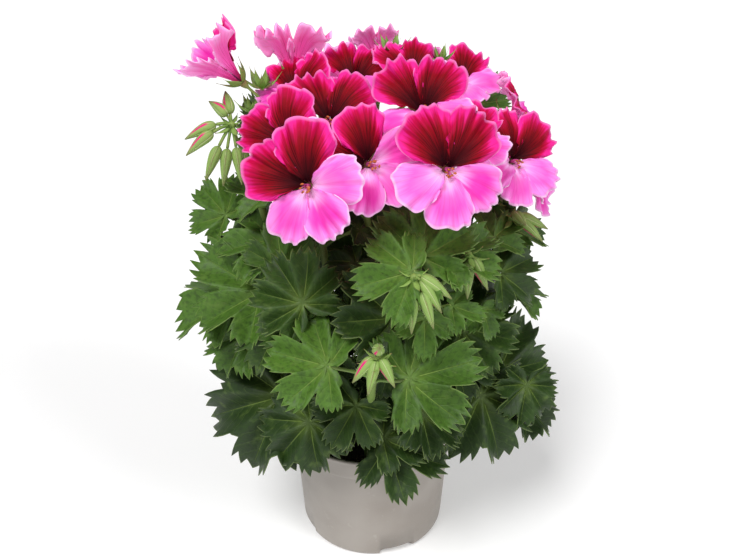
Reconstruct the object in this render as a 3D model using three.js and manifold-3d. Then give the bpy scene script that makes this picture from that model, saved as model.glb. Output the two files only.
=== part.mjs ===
// Potted regal pelargonium: a nursery pot, its soil, ten leafy stems with their leaves, buds and
// calyces, and blooms of two dark upper and three pale lower petals each.
// Millimetres, +Z up, front towards -Y, origin at the middle of the pot's flat underside.
import * as THREE from 'three';
import { mergeVertices } from 'three/addons/utils/BufferGeometryUtils.js';
import Module from 'manifold-3d';

const wasm = await Module();
wasm.setup();
const { Manifold, Mesh: SolidMesh } = wasm;

const GAP = 0.3; // clearance between separate pieces
const UP = new THREE.Vector3(0, 0, 1);

// Pot and soil
const POT_HEIGHT = 90;
const RIM_RADIUS = 60;
const POT_WALL = 1.5;
const FLOOR_THICKNESS = 2;
const COLLAR_FOOT = 74; // height of the collar's lower edge
const LEDGE = COLLAR_FOOT + POT_WALL; // height of the ledge inside the collar
const POT_SEGMENTS = 24;
const DRAIN_NOTCHES = 4;
const DRAIN = { width: 22, height: 6, depth: 8, radius: 46, azimuth: 20.5 }; // of the first
const SOIL_EDGE = 78;
const SOIL_MOUND = 4;
const CRUMB = 0.9; // height of the crumbs in relief
const HOLE_FLOOR = 55; // bottom of the plain holes that the stems stand in
const HOLE_SIDES = 6;

// Plant
const STEM_RADIUS = { foot: 3.1, top: 1.7 };
const STEM_SIDES = 5;
const PETIOLE_RADIUS = 1.0;
const PEDICEL_RADIUS = 0.85;
const KNOB_RADIUS = 2.3; // of the swelling that pedicels grow from
const THIN_SIDES = 3;
const LEAF_THICKNESS = 0.75;
const PETAL_THICKNESS = 0.7;
const CALYX = { foot: 9, seat: 2.9, cupRadius: 2.4, sepal: 13 };
const CLAW_FOOT = 1.9; // how far the petals' feet lie below the throat, just above the calyx
const BUD = { length: 18, radius: 2.9, sides: 4 };
const CLEARANCE = 1.1; // kept between blades where bending can give it
const BENDS = 48; // ways of bending that a leaf or a bloom tries, each a little stronger

// Outline of a leaf: each lobe's angle from the middle lobe and its reach, and how far the notches
// between the lobes go in. Teeth on a lobe's side: place across the lobe and share of its reach.
const LEAF_KINDS = {
  broad: {
    lobes: [[-132, 0.62], [-90, 0.8], [-45, 0.93], [0, 1], [45, 0.93], [90, 0.8], [132, 0.62]],
    notch: 0.66,
    teeth: [[0.3, 0.86], [0.6, 0.93]],
  },
  round: {
    lobes: [[-126, 0.66], [-84, 0.82], [-42, 0.94], [0, 1], [42, 0.94], [84, 0.82], [126, 0.66]],
    notch: 0.68,
    teeth: [[0.52, 0.93]],
  },
  cut: {
    lobes: [[-108, 0.68], [-54, 0.9], [0, 1], [54, 0.9], [108, 0.68]],
    notch: 0.44,
    teeth: [[0.46, 0.84]],
  },
  plain: {
    lobes: [[-112, 0.7], [-56, 0.9], [0, 1], [56, 0.9], [112, 0.7]],
    notch: 0.6,
    teeth: [],
  },
  young: {
    lobes: [[-62, 0.8], [0, 1], [62, 0.8]],
    notch: 0.46,
    teeth: [[0.44, 0.8]],
  },
};

const COLOURS = {
  pot: { color: 0x9d9791, roughness: 0.55, metalness: 0 },
  soil: { color: 0x2a211b, roughness: 0.95, metalness: 0 },
  darkLeaf: { color: 0x2f5c2b, roughness: 0.6, metalness: 0 },
  lightLeaf: { color: 0x548a2c, roughness: 0.6, metalness: 0 },
  upperPetal: { color: 0xa8123f, roughness: 0.6, metalness: 0 },
  lowerPetal: { color: 0xf26bc8, roughness: 0.6, metalness: 0 },
};

// Stems from their foot in the soil to their hub, where pedicels and young leaves start
const STEMS = [
  { tone: 'darkLeaf', path: [[-21, -4], [-24, -5, 100], [-36, -9, 150], [-54, -14, 205], [-72, -18, 286]] },
  {
    tone: 'darkLeaf',
    path: [[-11, -21], [-12, -23, 100], [-18, -30, 150], [-26, -34, 210], [-30, -38, 262]],
  },
  { tone: 'darkLeaf', path: [[4, -23], [4, -25, 100], [3, -30, 150], [0, -32, 210], [-4, -36, 264]] },
  { tone: 'darkLeaf', path: [[18, -16], [20, -18, 100], [25, -26, 150], [30, -30, 210], [33, -34, 258]] },
  { tone: 'darkLeaf', path: [[24, 3], [28, 2, 100], [42, -4, 145], [58, -8, 195], [70, -4, 244]] },
  { tone: 'darkLeaf', path: [[-14, 14], [-16, 15, 100], [-26, 18, 150], [-38, 18, 215], [-46, 12, 272]] },
  { tone: 'darkLeaf', path: [[2, 22], [2, 24, 100], [0, 32, 150], [0, 36, 220], [0, 36, 274]] },
  { tone: 'darkLeaf', path: [[16, 14], [18, 16, 100], [30, 24, 150], [42, 28, 215], [50, 28, 266]] },
  { tone: 'lightLeaf', path: [[-2, -38], [-2, -42, 94], [-2, -58, 120], [0, -78, 160], [3, -94, 192]] },
  { tone: 'lightLeaf', path: [[14, -34], [16, -40, 100], [20, -56, 150], [24, -76, 206], [23, -90, 236]] },
];

// Leaves that the photograph shows: stem, place of the petiole's end, the way the upper side faces
// (azimuth and elevation), turn of the middle lobe from upright, its length, kind, and cup
const LEAVES = [
  [1, [-53, -45, 131], [-104, 34], 112, 55, 'broad', -0.1],
  [2, [-35, -70, 127], [-98, 30], 150, 35, 'broad', -0.1],
  [9, [-23, -93, 186], [-104, 38], 84, 34, 'cut', 0.1],
  [9, [19, -96, 180], [-78, 42], -82, 40, 'cut', 0.12],
  [5, [65, -50, 136], [-68, 34], 192, 42, 'broad', -0.12],
  [5, [79, -25, 134], [-62, 42], -48, 42, 'broad', 0.1],
  [5, [97, -18, 108], [-50, 36], -112, 31, 'round', -0.1],
  [4, [89, -44, 143], [-66, 18], 172, 25, 'round', 0.1],
  [4, [9, -62, 106], [-84, 54], -112, 37, 'cut', 0],
  [3, [6, -64, 118], [-84, 40], -52, 30, 'cut', 0.05],
  [4, [34, -62, 130], [-70, 38], -146, 27, 'round', 0],
  [2, [-9, -74, 146], [-96, 34], 152, 28, 'cut', 0],
  [3, [5, -78, 204], [-92, 34], 28, 36, 'broad', 0.08],
  [2, [-37, -72, 212], [-104, 30], 42, 31, 'round', 0.1],
  [2, [-33, -78, 200], [-106, 48], 112, 28, 'round', -0.05],
  [1, [-51, -58, 190], [-112, 46], 118, 31, 'round', -0.08],
  [1, [-63, -45, 204], [-114, 46], 74, 46, 'cut', 0.08],
  [1, [-80, -24, 188], [-140, 66], 92, 46, 'cut', -0.05],
  [1, [-78, -38, 176], [-122, 42], 118, 29, 'round', 0],
  [6, [-85, -8, 234], [-112, 38], 58, 28, 'cut', 0.1],
  [1, [-64, -24, 233], [-116, 44], 104, 32, 'cut', 0],
  [1, [-76, -22, 216], [-128, 50], 122, 24, 'young', 0],
  [2, [-50, -50, 222], [-104, 34], 16, 27, 'cut', 0.12],
  [1, [-58, -26, 256], [-128, 72], 96, 25, 'young', 0.1],
  [10, [26, -82, 246], [-88, 32], -8, 33, 'cut', 0.18],
  [10, [18, -92, 246], [-98, 46], 94, 30, 'cut', 0],
  [10, [40, -74, 243], [-70, 62], -74, 30, 'cut', 0],
  [5, [72, -42, 214], [-66, 42], -78, 29, 'cut', 0],
  [5, [82, -26, 194], [-50, 66], -104, 27, 'young', 0],
  [4, [62, -54, 198], [-72, 26], -164, 19, 'young', 0],
  [10, [44, -78, 212], [-78, 42], -116, 19, 'young', 0],
  [10, [28, -86, 212], [-86, 40], 178, 21, 'young', 0],
  [4, [50, -44, 184], [-72, 46], -94, 34, 'round', 0],
  [4, [56, -52, 162], [-72, 40], -128, 26, 'cut', 0],
  [8, [64, 45, 284], [-74, 40], -34, 23, 'cut', 0.05],
  [5, [82, -8, 226], [-52, 50], -78, 26, 'cut', 0],
  [5, [68, -34, 232], [-70, 52], -60, 24, 'young', 0],
  [3, [-14, -40, 228], [-94, 40], 20, 30, 'round', 0],
  [6, [-42, -22, 214], [-110, 40], 60, 30, 'round', 0],
  [6, [-62, 4, 286], [-130, 40], 60, 20, 'young', 0.2],
];

// Leaves on the sides and back, in whorls: height, count, and distance from the middle
const WHORLS = [[108, 4, 62], [146, 4, 66], [184, 4, 66], [220, 4, 66], [250, 3, 60]];
const WHORL_ARC = [-8, 188];

// Blooms: stem, place of the throat, the way it faces, turn of the upper petals from upright,
// petal length, and how far the petals open from the axis
const BLOOMS = [
  [2, [-30, -94, 291], [-106, 24], 42, 30, 76],
  [2, [-40, -66, 300], [-124, 34], 46, 27, 70],
  [2, [-21, -44, 303], [-94, 50], 0, 28, 70],
  [3, [-5, -75, 299], [-82, 32], 50, 27, 74],
  [4, [26, -50, 311], [-96, 46], 10, 29, 72],
  [4, [36, -86, 296], [-78, 24], -6, 30, 76],
  [4, [52, -52, 299], [-66, 52], -14, 24, 62],
  [5, [76, -30, 277], [-58, 28], -20, 28, 68],
  [5, [90, -2, 256], [-18, 14], -24, 26, 66],
  [5, [80, 8, 287], [0, 34], 0, 26, 66],
  [8, [50, 22, 302], [-70, 66], 0, 26, 66],
  [2, [-40, -12, 306], [-128, 56], 10, 25, 62],
  [3, [-12, -2, 311], [-96, 66], 0, 26, 64],
  [3, [20, -4, 309], [-78, 66], 0, 24, 62],
  [6, [-70, -15, 318], [182, 42], 0, 33, 30],
  [6, [-44, 6, 314], [92, 62], 0, 33, 38],
  [7, [2, 30, 318], [100, 56], 0, 19, 48],
  [6, [-52, 52, 280], [132, 34], 0, 28, 70],
  [7, [-16, 76, 284], [98, 34], 12, 29, 72],
  [7, [28, 72, 290], [78, 42], -8, 29, 72],
  [8, [58, 68, 268], [58, 26], 8, 27, 70],
  [8, [92, 36, 256], [20, 28], 0, 26, 68],
];

// Sprays of buds: stem, height on the stem where the spray leaves it, hub, and the buds' tips
const SPRAYS = [
  [1, 270, [-76, -20, 294], [[-101, -26, 288], [-100, -32, 281], [-90, -36, 268], [-81, -34, 264],
    [-71, -32, 264], [-88, -16, 306], [-80, -8, 309]]],
  [10, 230, [21, -98, 243], [[20, -108, 216], [31, -108, 219], [35, -104, 226], [40, -102, 233]]],
  [10, 214, [50, -76, 244], [[50, -82, 221], [61, -78, 224]]],
  [5, 225, [80, -20, 238], [[100, -26, 234], [97, -30, 228], [86, -34, 240]]],
  [9, 170, [3, -100, 196], [[-10, -108, 186], [-2, -112, 181], [12, -108, 183], [4, -106, 206]]],
  [7, 250, [4, 26, 300], [[14, 24, 320], [8, 34, 322], [20, 32, 314]]],
];

// Petals of a bloom, which spread from the throat as one fan above and one below: the fan's middle
// and each petal's half angle, the points of each row from the foot, and how far the edge reaches
const UPPER_PETALS = {
  middle: 0, half: 35, count: 2, rows: [[0, 3], [0.5, 6]],
  edge: [[-1, 0.66], [-0.66, 0.95], [-0.22, 1], [0.22, 1], [0.66, 0.95]],
};
const LOWER_PETALS = {
  middle: 180, half: 31.5, count: 3, rows: [[0, 4], [0.5, 7]],
  edge: [[-1, 0.62], [-0.5, 0.95], [0, 1], [0.5, 0.95]],
};
const RUFFLE = 0.08; // share of a petal's length
const FOOT_SHARE = 0.84; // share of a fan's angle that its claws take up

const rad = THREE.MathUtils.degToRad;
const vec = ([x, y, z]) => new THREE.Vector3(x, y, z);

/** A repeatable draw between 0 and 1: a linear congruential generator. */
function seeded(seed) {
  let state = seed >>> 0;
  return () => {
    state = (Math.imul(state, 1664525) + 1013904223) >>> 0;
    return state / 4294967296;
  };
}

/** Unit vector at an azimuth and elevation in degrees. */
function facing([azimuth, elevation]) {
  const [a, e] = [rad(azimuth), rad(elevation)];
  return new THREE.Vector3(Math.cos(e) * Math.cos(a), Math.cos(e) * Math.sin(a), Math.sin(e));
}

/** Axes of a piece that faces n, with its heading turned from upright, counter-clockwise in front. */
function axes(face, turn) {
  const n = facing(face);
  const upright = UP.clone().addScaledVector(n, -UP.dot(n)).normalize();
  const left = n.clone().cross(upright);
  const h = upright.clone().multiplyScalar(Math.cos(rad(turn))).addScaledVector(left, Math.sin(rad(turn)));
  return { n, h, s: n.clone().cross(h) };
}

/** A solid from a flat list of coordinates and a flat list of triangle corners. */
function solid(coordinates, corners) {
  return new Manifold(new SolidMesh({
    numProp: 3,
    vertProperties: new Float32Array(coordinates),
    triVerts: new Uint32Array(corners),
  }));
}

/** A solid from a closed three.js geometry. */
function solidOf(geometry) {
  geometry.deleteAttribute('normal');
  geometry.deleteAttribute('uv');
  const merged = mergeVertices(geometry, 1e-4);
  return solid(merged.attributes.position.array, merged.index.array);
}

/** A three.js geometry with flat faces from a solid. */
function geometryOf(body) {
  const mesh = body.getMesh();
  const geometry = new THREE.BufferGeometry();
  geometry.setAttribute('position', new THREE.BufferAttribute(mesh.vertProperties, 3));
  geometry.setIndex(new THREE.BufferAttribute(mesh.triVerts, 1));
  geometry.computeVertexNormals();
  return geometry;
}

/** A thin closed blade over a mid surface, with the same triangles on both faces and a wall round
 *  its edge. The edge runs counter-clockwise seen from the front; grow makes it larger all round.
 *  Where the blade has a stalk, its back is a fan from the stalk's last ring instead. */
function blade({ points, triangles, edge, thickness, stalk }, grow) {
  const normals = points.map(() => new THREE.Vector3());
  for (let t = 0; t < triangles.length; t += 3) {
    const [a, b, c] = [points[triangles[t]], points[triangles[t + 1]], points[triangles[t + 2]]];
    const normal = b.clone().sub(a).cross(c.clone().sub(a));
    for (let k = 0; k < 3; k += 1) normals[triangles[t + k]].add(normal);
  }
  normals.forEach((normal) => normal.normalize());
  const spread = points.map((point) => point.clone());
  edge.forEach((here, k) => {
    const before = points[edge[(k + edge.length - 1) % edge.length]];
    const after = points[edge[(k + 1) % edge.length]];
    const outward = after.clone().sub(before).cross(normals[here]).normalize();
    spread[here].addScaledVector(outward, grow);
  });
  const half = thickness / 2 + grow;
  const stem = stalk ? stalk(grow) : [];
  const front = spread.map((point, k) => point.clone().addScaledVector(normals[k], half));
  const back = spread.map((point, k) => point.clone().addScaledVector(normals[k], -half));
  const [first, second] = [stem.length, stem.length + front.length];
  const corners = triangles.map((corner) => corner + first);
  edge.forEach((a, k) => {
    const b = edge[(k + 1) % edge.length];
    corners.push(a + first, a + second, b + second, a + first, b + second, b + first);
  });
  if (stalk) {
    const last = stem.length - THIN_SIDES;
    corners.push(...ringSides(stem.length / THIN_SIDES, THIN_SIDES));
    corners.push(...collar(edge.map((k) => k + second), stalk.sectors, last));
    // the middle of the back is open for the stalk, so its point is left out
    const unused = second;
    const all = [...stem, ...front, ...back];
    all.splice(unused, 1);
    return solid(flat(all), corners.map((corner) => (corner > unused ? corner - 1 : corner)));
  }
  for (let t = 0; t < triangles.length; t += 3) {
    corners.push(triangles[t] + second, triangles[t + 2] + second, triangles[t + 1] + second);
  }
  return solid(flat([...front, ...back]), corners);
}

/** Corners between a loop and a ring of three, seen from the ring's side; each point of the loop
 *  belongs to one third of the turn. */
function collar(loop, sectors, ring) {
  const corners = [];
  loop.forEach((here, k) => {
    const next = (k + 1) % loop.length;
    corners.push(loop[next], here, ring + sectors[k]);
    if (sectors[next] !== sectors[k]) corners.push(ring + sectors[k], ring + sectors[next], loop[next]);
  });
  return corners;
}

/** Third of the turn, round the ring of a stalk, that an angle in degrees belongs to. */
function sector(angle) {
  return Math.round((((angle % 360) + 360) % 360) / 120) % THIN_SIDES;
}

/** Rings of points round a path, one at each point of it. Their first point starts from a side
 *  direction at the path's end and is carried back along the path without twisting. */
function rings(path, radii, sides, from, grow) {
  const normal = from.clone();
  return path.map((_, k) => path.length - 1 - k).map((k) => {
    const tangent = path[Math.min(k + 1, path.length - 1)].clone()
      .sub(path[Math.max(k - 1, 0)]).normalize();
    normal.addScaledVector(tangent, -normal.dot(tangent)).normalize();
    const beside = tangent.clone().cross(normal);
    return Array.from({ length: sides }, (__, j) => {
      const angle = (2 * Math.PI * j) / sides;
      return path[k].clone().addScaledVector(normal, Math.cos(angle) * (radii[k] + grow))
        .addScaledVector(beside, Math.sin(angle) * (radii[k] + grow));
    });
  }).reverse();
}

/** Corners of the sides of a round whose rings follow each other, and of its starting cap. */
function ringSides(count, sides) {
  const corners = [];
  for (let k = 0; k + 1 < count; k += 1) {
    for (let j = 0; j < sides; j += 1) {
      const [a, b] = [k * sides + j, k * sides + ((j + 1) % sides)];
      corners.push(a, b, b + sides, a, b + sides, a + sides);
    }
  }
  for (let j = 1; j + 1 < sides; j += 1) corners.push(0, j + 1, j);
  return corners;
}

const flat = (points) => points.flatMap((point) => point.toArray());

/** A closed round of a few sides along a path, with a radius at each point of it. */
function rod(path, radii, sides, grow) {
  const from = new THREE.Vector3(1, 0, 0);
  const points = rings(path, radii, sides, from, grow).flat();
  const corners = ringSides(path.length, sides);
  const last = (path.length - 1) * sides;
  for (let j = 1; j + 1 < sides; j += 1) corners.push(last, last + j, last + j + 1);
  return solid(flat(points), corners);
}

/** Points along a smooth arch with two inner guide points. */
function arch(start, guideA, guideB, end, steps) {
  return new THREE.CubicBezierCurve3(start, guideA, guideB, end).getPoints(steps);
}

/** Edge of a leaf of a kind: angle from the middle lobe, reach, and place across the lobe. */
function leafEdge(kind) {
  const { lobes, notch, teeth } = LEAF_KINDS[kind];
  const half = (lobes[1][0] - lobes[0][0]) / 2;
  const edge = [];
  lobes.forEach(([angle, reach], k) => {
    teeth.slice().reverse().forEach(([place, share]) => {
      edge.push({ angle: angle - half * place, reach: reach * share, place: -place });
    });
    edge.push({ angle, reach, place: 0 });
    teeth.forEach(([place, share]) => {
      edge.push({ angle: angle + half * place, reach: reach * share, place });
    });
    if (k + 1 < lobes.length) {
      const depth = (notch * (reach + lobes[k + 1][1])) / 2;
      edge.push({ angle: angle + half, reach: depth, place: 1 });
    }
  });
  edge.push({ angle: 180, reach: 0.07, place: 1 });
  return edge;
}

const PLEAT = 0.07; // share of a leaf's length that the notches stand over the ribs

/** A leaf blade: a pleated fan from the petiole's end, cupped up or down towards its edge. */
function leafBlade({ at, face, turn, size, kind, cup }) {
  const { n, h, s } = axes(face, turn);
  const origin = vec(at);
  const outline = leafEdge(kind);
  const points = [origin, ...outline.map(({ angle, reach, place }) => {
    const [c, d] = [Math.cos(rad(angle)), Math.sin(rad(angle))];
    const rise = cup * reach * reach - PLEAT * reach * Math.cos(Math.PI * place);
    return origin.clone().addScaledVector(h, size * reach * c)
      .addScaledVector(s, size * reach * d).addScaledVector(n, size * rise);
  })];
  const edge = outline.map((_, k) => k + 1);
  const triangles = edge.flatMap((here, k) => [0, here, edge[(k + 1) % edge.length]]);
  return { points, triangles, edge, thickness: LEAF_THICKNESS };
}

/** A leaf: its blade, with its petiole growing out of the middle of the back. */
function wholeLeaf(path, leaf) {
  const { n, h, s } = axes(leaf.face, leaf.turn);
  const line = petioleLine(path, leaf);
  const stalk = (grow) => {
    const tube = rings(line.slice(0, -1), line.slice(1).map(() => PETIOLE_RADIUS), THIN_SIDES, h, grow);
    const seat = line[line.length - 1].clone().addScaledVector(n, -LEAF_THICKNESS / 2 - grow - 0.3);
    const end = [0, 120, 240].map((angle) => seat.clone()
      .addScaledVector(h, (PETIOLE_RADIUS + grow) * Math.cos(rad(angle)))
      .addScaledVector(s, (PETIOLE_RADIUS + grow) * Math.sin(rad(angle))));
    return [...tube, end].flat();
  };
  stalk.sectors = leafEdge(leaf.kind).map(({ angle }) => sector(angle));
  return { ...leafBlade(leaf), stalk };
}

/** Joins two rows of points, from the foot outwards, with triangles. */
function zip(inner, outer) {
  const triangles = [];
  let [i, j] = [0, 0];
  const share = (k, row) => (k < row.length - 1 ? (k + 1) / (row.length - 1) : Infinity);
  while (i < inner.length - 1 || j < outer.length - 1) {
    if (share(j, outer) <= share(i, inner)) {
      triangles.push(inner[i], outer[j], outer[j + 1]);
      j += 1;
    } else {
      triangles.push(inner[i], outer[j], inner[i + 1]);
      i += 1;
    }
  }
  return triangles;
}

/** A fan of petals: it rises from the calyx as claws, opens outwards and ends in a ruffled edge. */
function petalFan({ at, face, turn, length, open }, { middle, half, count, rows, edge: rim }) {
  const { n, h, s } = axes(face, turn);
  const profile = new THREE.QuadraticBezierCurve(
    new THREE.Vector2(1.9, -CLAW_FOOT),
    new THREE.Vector2(2.8, 0.2 * length),
    new THREE.Vector2(length * Math.sin(rad(open)), 0.9 * length * Math.cos(rad(open)) + 1),
  );
  const points = [];
  const place = (angle, v, wave) => {
    const { x: out, y: rise } = profile.getPoint(v);
    points.push(vec(at).addScaledVector(h, out * Math.cos(rad(angle)))
      .addScaledVector(s, out * Math.sin(rad(angle))).addScaledVector(n, rise + wave));
    return points.length - 1;
  };
  const start = middle - half * count;
  const grid = rows.map(([v, steps]) => Array.from({ length: steps }, (_, k) => {
    const share = (2 * k) / (steps - 1) - 1;
    return place(middle + half * count * share * (v > 0 ? 1 : FOOT_SHARE), v, 0);
  }));
  const rimRow = [];
  for (let k = 0; k < count; k += 1) {
    rim.forEach(([across, reach], j) => {
      const wave = RUFFLE * length * (j % 2 ? 1 : -0.7);
      rimRow.push(place(start + half * (2 * k + 1 + across), reach, wave));
    });
  }
  rimRow.push(place(start + 2 * half * count, rim[0][1], -0.7 * RUFFLE * length));
  grid.push(rimRow);
  const triangles = grid.slice(1).flatMap((row, k) => zip(grid[k], row));
  const inner = grid.slice(1, -1);
  const edge = [...grid[0].slice().reverse(), ...inner.map((row) => row[0]), ...rimRow,
    ...inner.map((row) => row[row.length - 1]).reverse()];
  return { points, triangles, edge, thickness: PETAL_THICKNESS };
}

/** Smooth path of a stem, from its foot in the soil to its hub. */
function stemPath({ path: [[x, y], ...rest] }) {
  const foot = [vec([x, y, HOLE_FLOOR + GAP]), vec([x, y, SOIL_EDGE + SOIL_MOUND + 2])];
  const curve = new THREE.CatmullRomCurve3([foot[1], ...rest.map(vec)], false, 'centripetal');
  return [foot[0], ...curve.getPoints(5)];
}

/** Point of a stem's path at a height. */
function pointAt(path, height) {
  for (let k = 1; k < path.length; k += 1) {
    if (path[k].z >= height) {
      const share = (height - path[k - 1].z) / (path[k].z - path[k - 1].z);
      return path[k - 1].clone().lerp(path[k], share);
    }
  }
  return path[path.length - 1].clone();
}

/** Line of a petiole from its stem to its blade's underside. */
function petioleLine(path, { at, face, turn, size }) {
  const { n, h } = axes(face, turn);
  const end = vec(at);
  const level = pointAt(path, end.z);
  const away = Math.hypot(end.x - level.x, end.y - level.y);
  const highest = path[path.length - 1].z - 3;
  const lowest = SOIL_EDGE + SOIL_MOUND + 5;
  const start = pointAt(path, Math.max(lowest, Math.min(highest, end.z - 0.45 * away - 4)));
  const run = end.distanceTo(start);
  const guideA = start.clone().lerp(end, 0.35).addScaledVector(UP, 0.1 * run);
  const guideB = end.clone().addScaledVector(n, -0.22 * size).addScaledVector(h, -0.2 * size);
  return arch(start, guideA, guideB, end, 3);
}

/** Line of a pedicel from its stem's hub to its bloom's calyx. */
function pedicelLine(path, { at, face }) {
  const n = facing(face);
  const hub = path[path.length - 1];
  const foot = vec(at).addScaledVector(n, -CALYX.foot);
  const run = foot.distanceTo(hub);
  const start = hub.clone().add(foot.clone().sub(hub).setLength(0.5 * KNOB_RADIUS));
  return arch(start, hub.clone().lerp(foot, 0.3).addScaledVector(UP, 0.08 * run),
    foot.clone().addScaledVector(n, -0.3 * run), foot.clone().addScaledVector(n, 0.8), 3);
}

/** A pedicel and its calyx: a small cup whose rim spreads into five pointed sepals. */
function calyx(path, bloom, grow) {
  const { at, face, turn, open } = bloom;
  const { n, h, s } = axes(face, turn);
  const line = pedicelLine(path, bloom);
  const stalk = rings(line, line.map(() => PEDICEL_RADIUS), THIN_SIDES, h, grow).flat();
  const tilt = rad(Math.min(open + 24, 92));
  const star = Array.from({ length: 10 }, (_, k) => {
    const reach = k % 2 === 1 ? CALYX.sepal + grow : 0;
    const out = CALYX.cupRadius + grow + reach * Math.sin(tilt);
    return vec(at).addScaledVector(h, out * Math.cos(rad(36 * k)))
      .addScaledVector(s, out * Math.sin(rad(36 * k)))
      .addScaledVector(n, reach * Math.cos(tilt) - CALYX.seat - 0.6);
  });
  const seat = vec(at).addScaledVector(n, grow - CALYX.seat);
  const points = [...stalk, ...star, seat];
  const loop = star.map((_, k) => k + stalk.length);
  const sectors = star.map((_, k) => sector(36 * k));
  const corners = [
    ...ringSides(line.length, THIN_SIDES),
    ...collar(loop, sectors, stalk.length - THIN_SIDES),
    ...loop.flatMap((here, k) => [points.length - 1, here, loop[(k + 1) % loop.length]]),
  ];
  return solid(flat(points), corners);
}

/** A calyx; one that is grown is also moved both ways, so that its thin sepals get a clearance. */
function wholeCalyx(path, bloom, grow) {
  const n = facing(bloom.face);
  const moves = grow ? [-grow, 0, grow] : [0];
  return Manifold.union(moves.map((move) => calyx(
    path, { ...bloom, at: vec(bloom.at).addScaledVector(n, move).toArray() }, grow)));
}

/** The swelling at a hub. */
function knob(hub) {
  const ends = [-1, 0, 1].map((level) => hub.clone().addScaledVector(UP, level * KNOB_RADIUS));
  return (grow) => rod(ends, [0.5, KNOB_RADIUS, 0.5], BUD.sides, grow);
}

/** A spray: its own stalk from the stem, and long pointed buds on arching pedicels. */
function spray(path, [, height, hubPlace, tips]) {
  const hub = vec(hubPlace);
  const start = pointAt(path, height);
  const stalk = arch(start, start.clone().lerp(hub, 0.3).addScaledVector(UP, 2),
    hub.clone().addScaledVector(UP, -6), hub, 2);
  const buds = tips.map((place) => {
    const tip = vec(place);
    const reach = tip.clone().sub(hub);
    const share = Math.max(0.16, 1 - BUD.length / reach.length());
    const root = hub.clone().addScaledVector(reach, share).addScaledVector(UP, 3);
    const belly = root.clone().lerp(tip, 0.42).addScaledVector(UP, 0.8);
    const from = hub.clone().add(root.clone().sub(hub).setLength(0.5 * KNOB_RADIUS));
    return (grow) => rod([from, root, belly, tip], [0.9, 1.1, BUD.radius, 0.3], BUD.sides, grow);
  });
  return [(grow) => rod(stalk, [1.3, 1.2, 1.1], THIN_SIDES, grow), knob(hub), ...buds];
}

const join = (makers, grow = 0) => Manifold.union(makers.map((make) => make(grow)));

/** Whether the boxes of two solids meet. */
function near(a, b) {
  const [p, q] = [a.boundingBox(), b.boundingBox()];
  return [0, 1, 2].every((k) => p.min[k] <= q.max[k] && q.min[k] <= p.max[k]);
}

/** A body cut back to stay clear of the larger copies of its neighbours. */
function clearOf(body, neighbours) {
  const close = neighbours.filter((other) => near(body, other));
  return close.length ? body.subtract(Manifold.union(close)) : body;
}

/** The largest piece of a body: scraps that a cut leaves loose are dropped. */
function mainPiece(body) {
  return body.decompose().sort((a, b) => b.volume() - a.volume())[0];
}

/** Edges of a blade's mid surface, each once. */
function edgesOf({ points, triangles }) {
  const seen = new Set();
  const edges = [];
  for (let t = 0; t < triangles.length; t += 3) {
    for (let k = 0; k < 3; k += 1) {
      const [a, b] = [triangles[t + k], triangles[t + ((k + 1) % 3)]];
      const key = a < b ? `${a},${b}` : `${b},${a}`;
      if (!seen.has(key)) edges.push([points[a], points[b]]);
      seen.add(key);
    }
  }
  return edges;
}

/** What a piece takes up: its blades' triangles, and the edges and lines that may pierce others. */
function footprint(sheets, line, face) {
  const n = facing(face);
  const moved = (point, side) => point.clone().addScaledVector(n, side * CLEARANCE);
  const faces = [];
  const strokes = line.slice(1).map((point, k) => [line[k], point]);
  sheets.forEach((sheet) => {
    [-1, 1].forEach((side) => {
      const points = sheet.points.map((point) => moved(point, side));
      for (let t = 0; t < sheet.triangles.length; t += 3) {
        faces.push([0, 1, 2].map((k) => points[sheet.triangles[t + k]]));
      }
      strokes.push(...edgesOf({ points, triangles: sheet.triangles }));
    });
  });
  const box = new THREE.Box3().setFromPoints([...strokes.flat()]);
  return { faces, strokes, box };
}

const side = new THREE.Vector3();
const wing = new THREE.Vector3();
const away = new THREE.Vector3();

/** Six times the signed volume over a triangle, seen from a point. */
function volume(point, a, b, c) {
  side.subVectors(b, a);
  wing.subVectors(c, a);
  return away.subVectors(point, a).dot(side.cross(wing));
}

/** How many strokes pierce how many faces. */
function piercings(strokes, faces, box) {
  let count = 0;
  strokes.forEach(([p, q]) => {
    if (Math.max(p.x, q.x) < box.min.x || Math.min(p.x, q.x) > box.max.x
      || Math.max(p.y, q.y) < box.min.y || Math.min(p.y, q.y) > box.max.y
      || Math.max(p.z, q.z) < box.min.z || Math.min(p.z, q.z) > box.max.z) return;
    faces.forEach(([a, b, c]) => {
      if (volume(p, a, b, c) * volume(q, a, b, c) >= 0) return;
      const first = volume(q, p, a, b) > 0;
      if (volume(q, p, b, c) > 0 === first && volume(q, p, c, a) > 0 === first) count += 1;
    });
  });
  return count;
}

/** How often a piece and the ones already placed pierce each other. */
function crossings(piece, placed) {
  return placed.filter((other) => other.box.intersectsBox(piece.box)).reduce((sum, other) => (
    sum + piercings(piece.strokes, other.faces, other.box)
    + piercings(other.strokes, piece.faces, piece.box)), 0);
}

/** Bends a piece clear: it tries its own place and then small changes that grow, and keeps the one
 *  that crosses the fewest pieces already placed. */
function bendClear(piece, placed, footprintOf, reach, seed) {
  const draw = seeded(seed);
  let best = { count: Infinity };
  for (let k = 0; k <= BENDS && best.count > 0; k += 1) {
    const [dx, dy, dz, da, de, dt] = Array.from({ length: 6 }, () => (2 * draw() - 1) * (k / BENDS));
    const bent = {
      ...piece,
      at: [piece.at[0] + reach.shift * dx, piece.at[1] + reach.shift * dy, piece.at[2] + reach.shift * dz],
      face: [piece.face[0] + reach.angle * da, piece.face[1] + reach.angle * de],
      turn: piece.turn + reach.angle * dt,
    };
    const taken = footprintOf(bent);
    const count = crossings(taken, placed);
    if (count < best.count) best = { count, bent, taken };
  }
  placed.push(best.taken);
  return best.bent;
}

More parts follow.
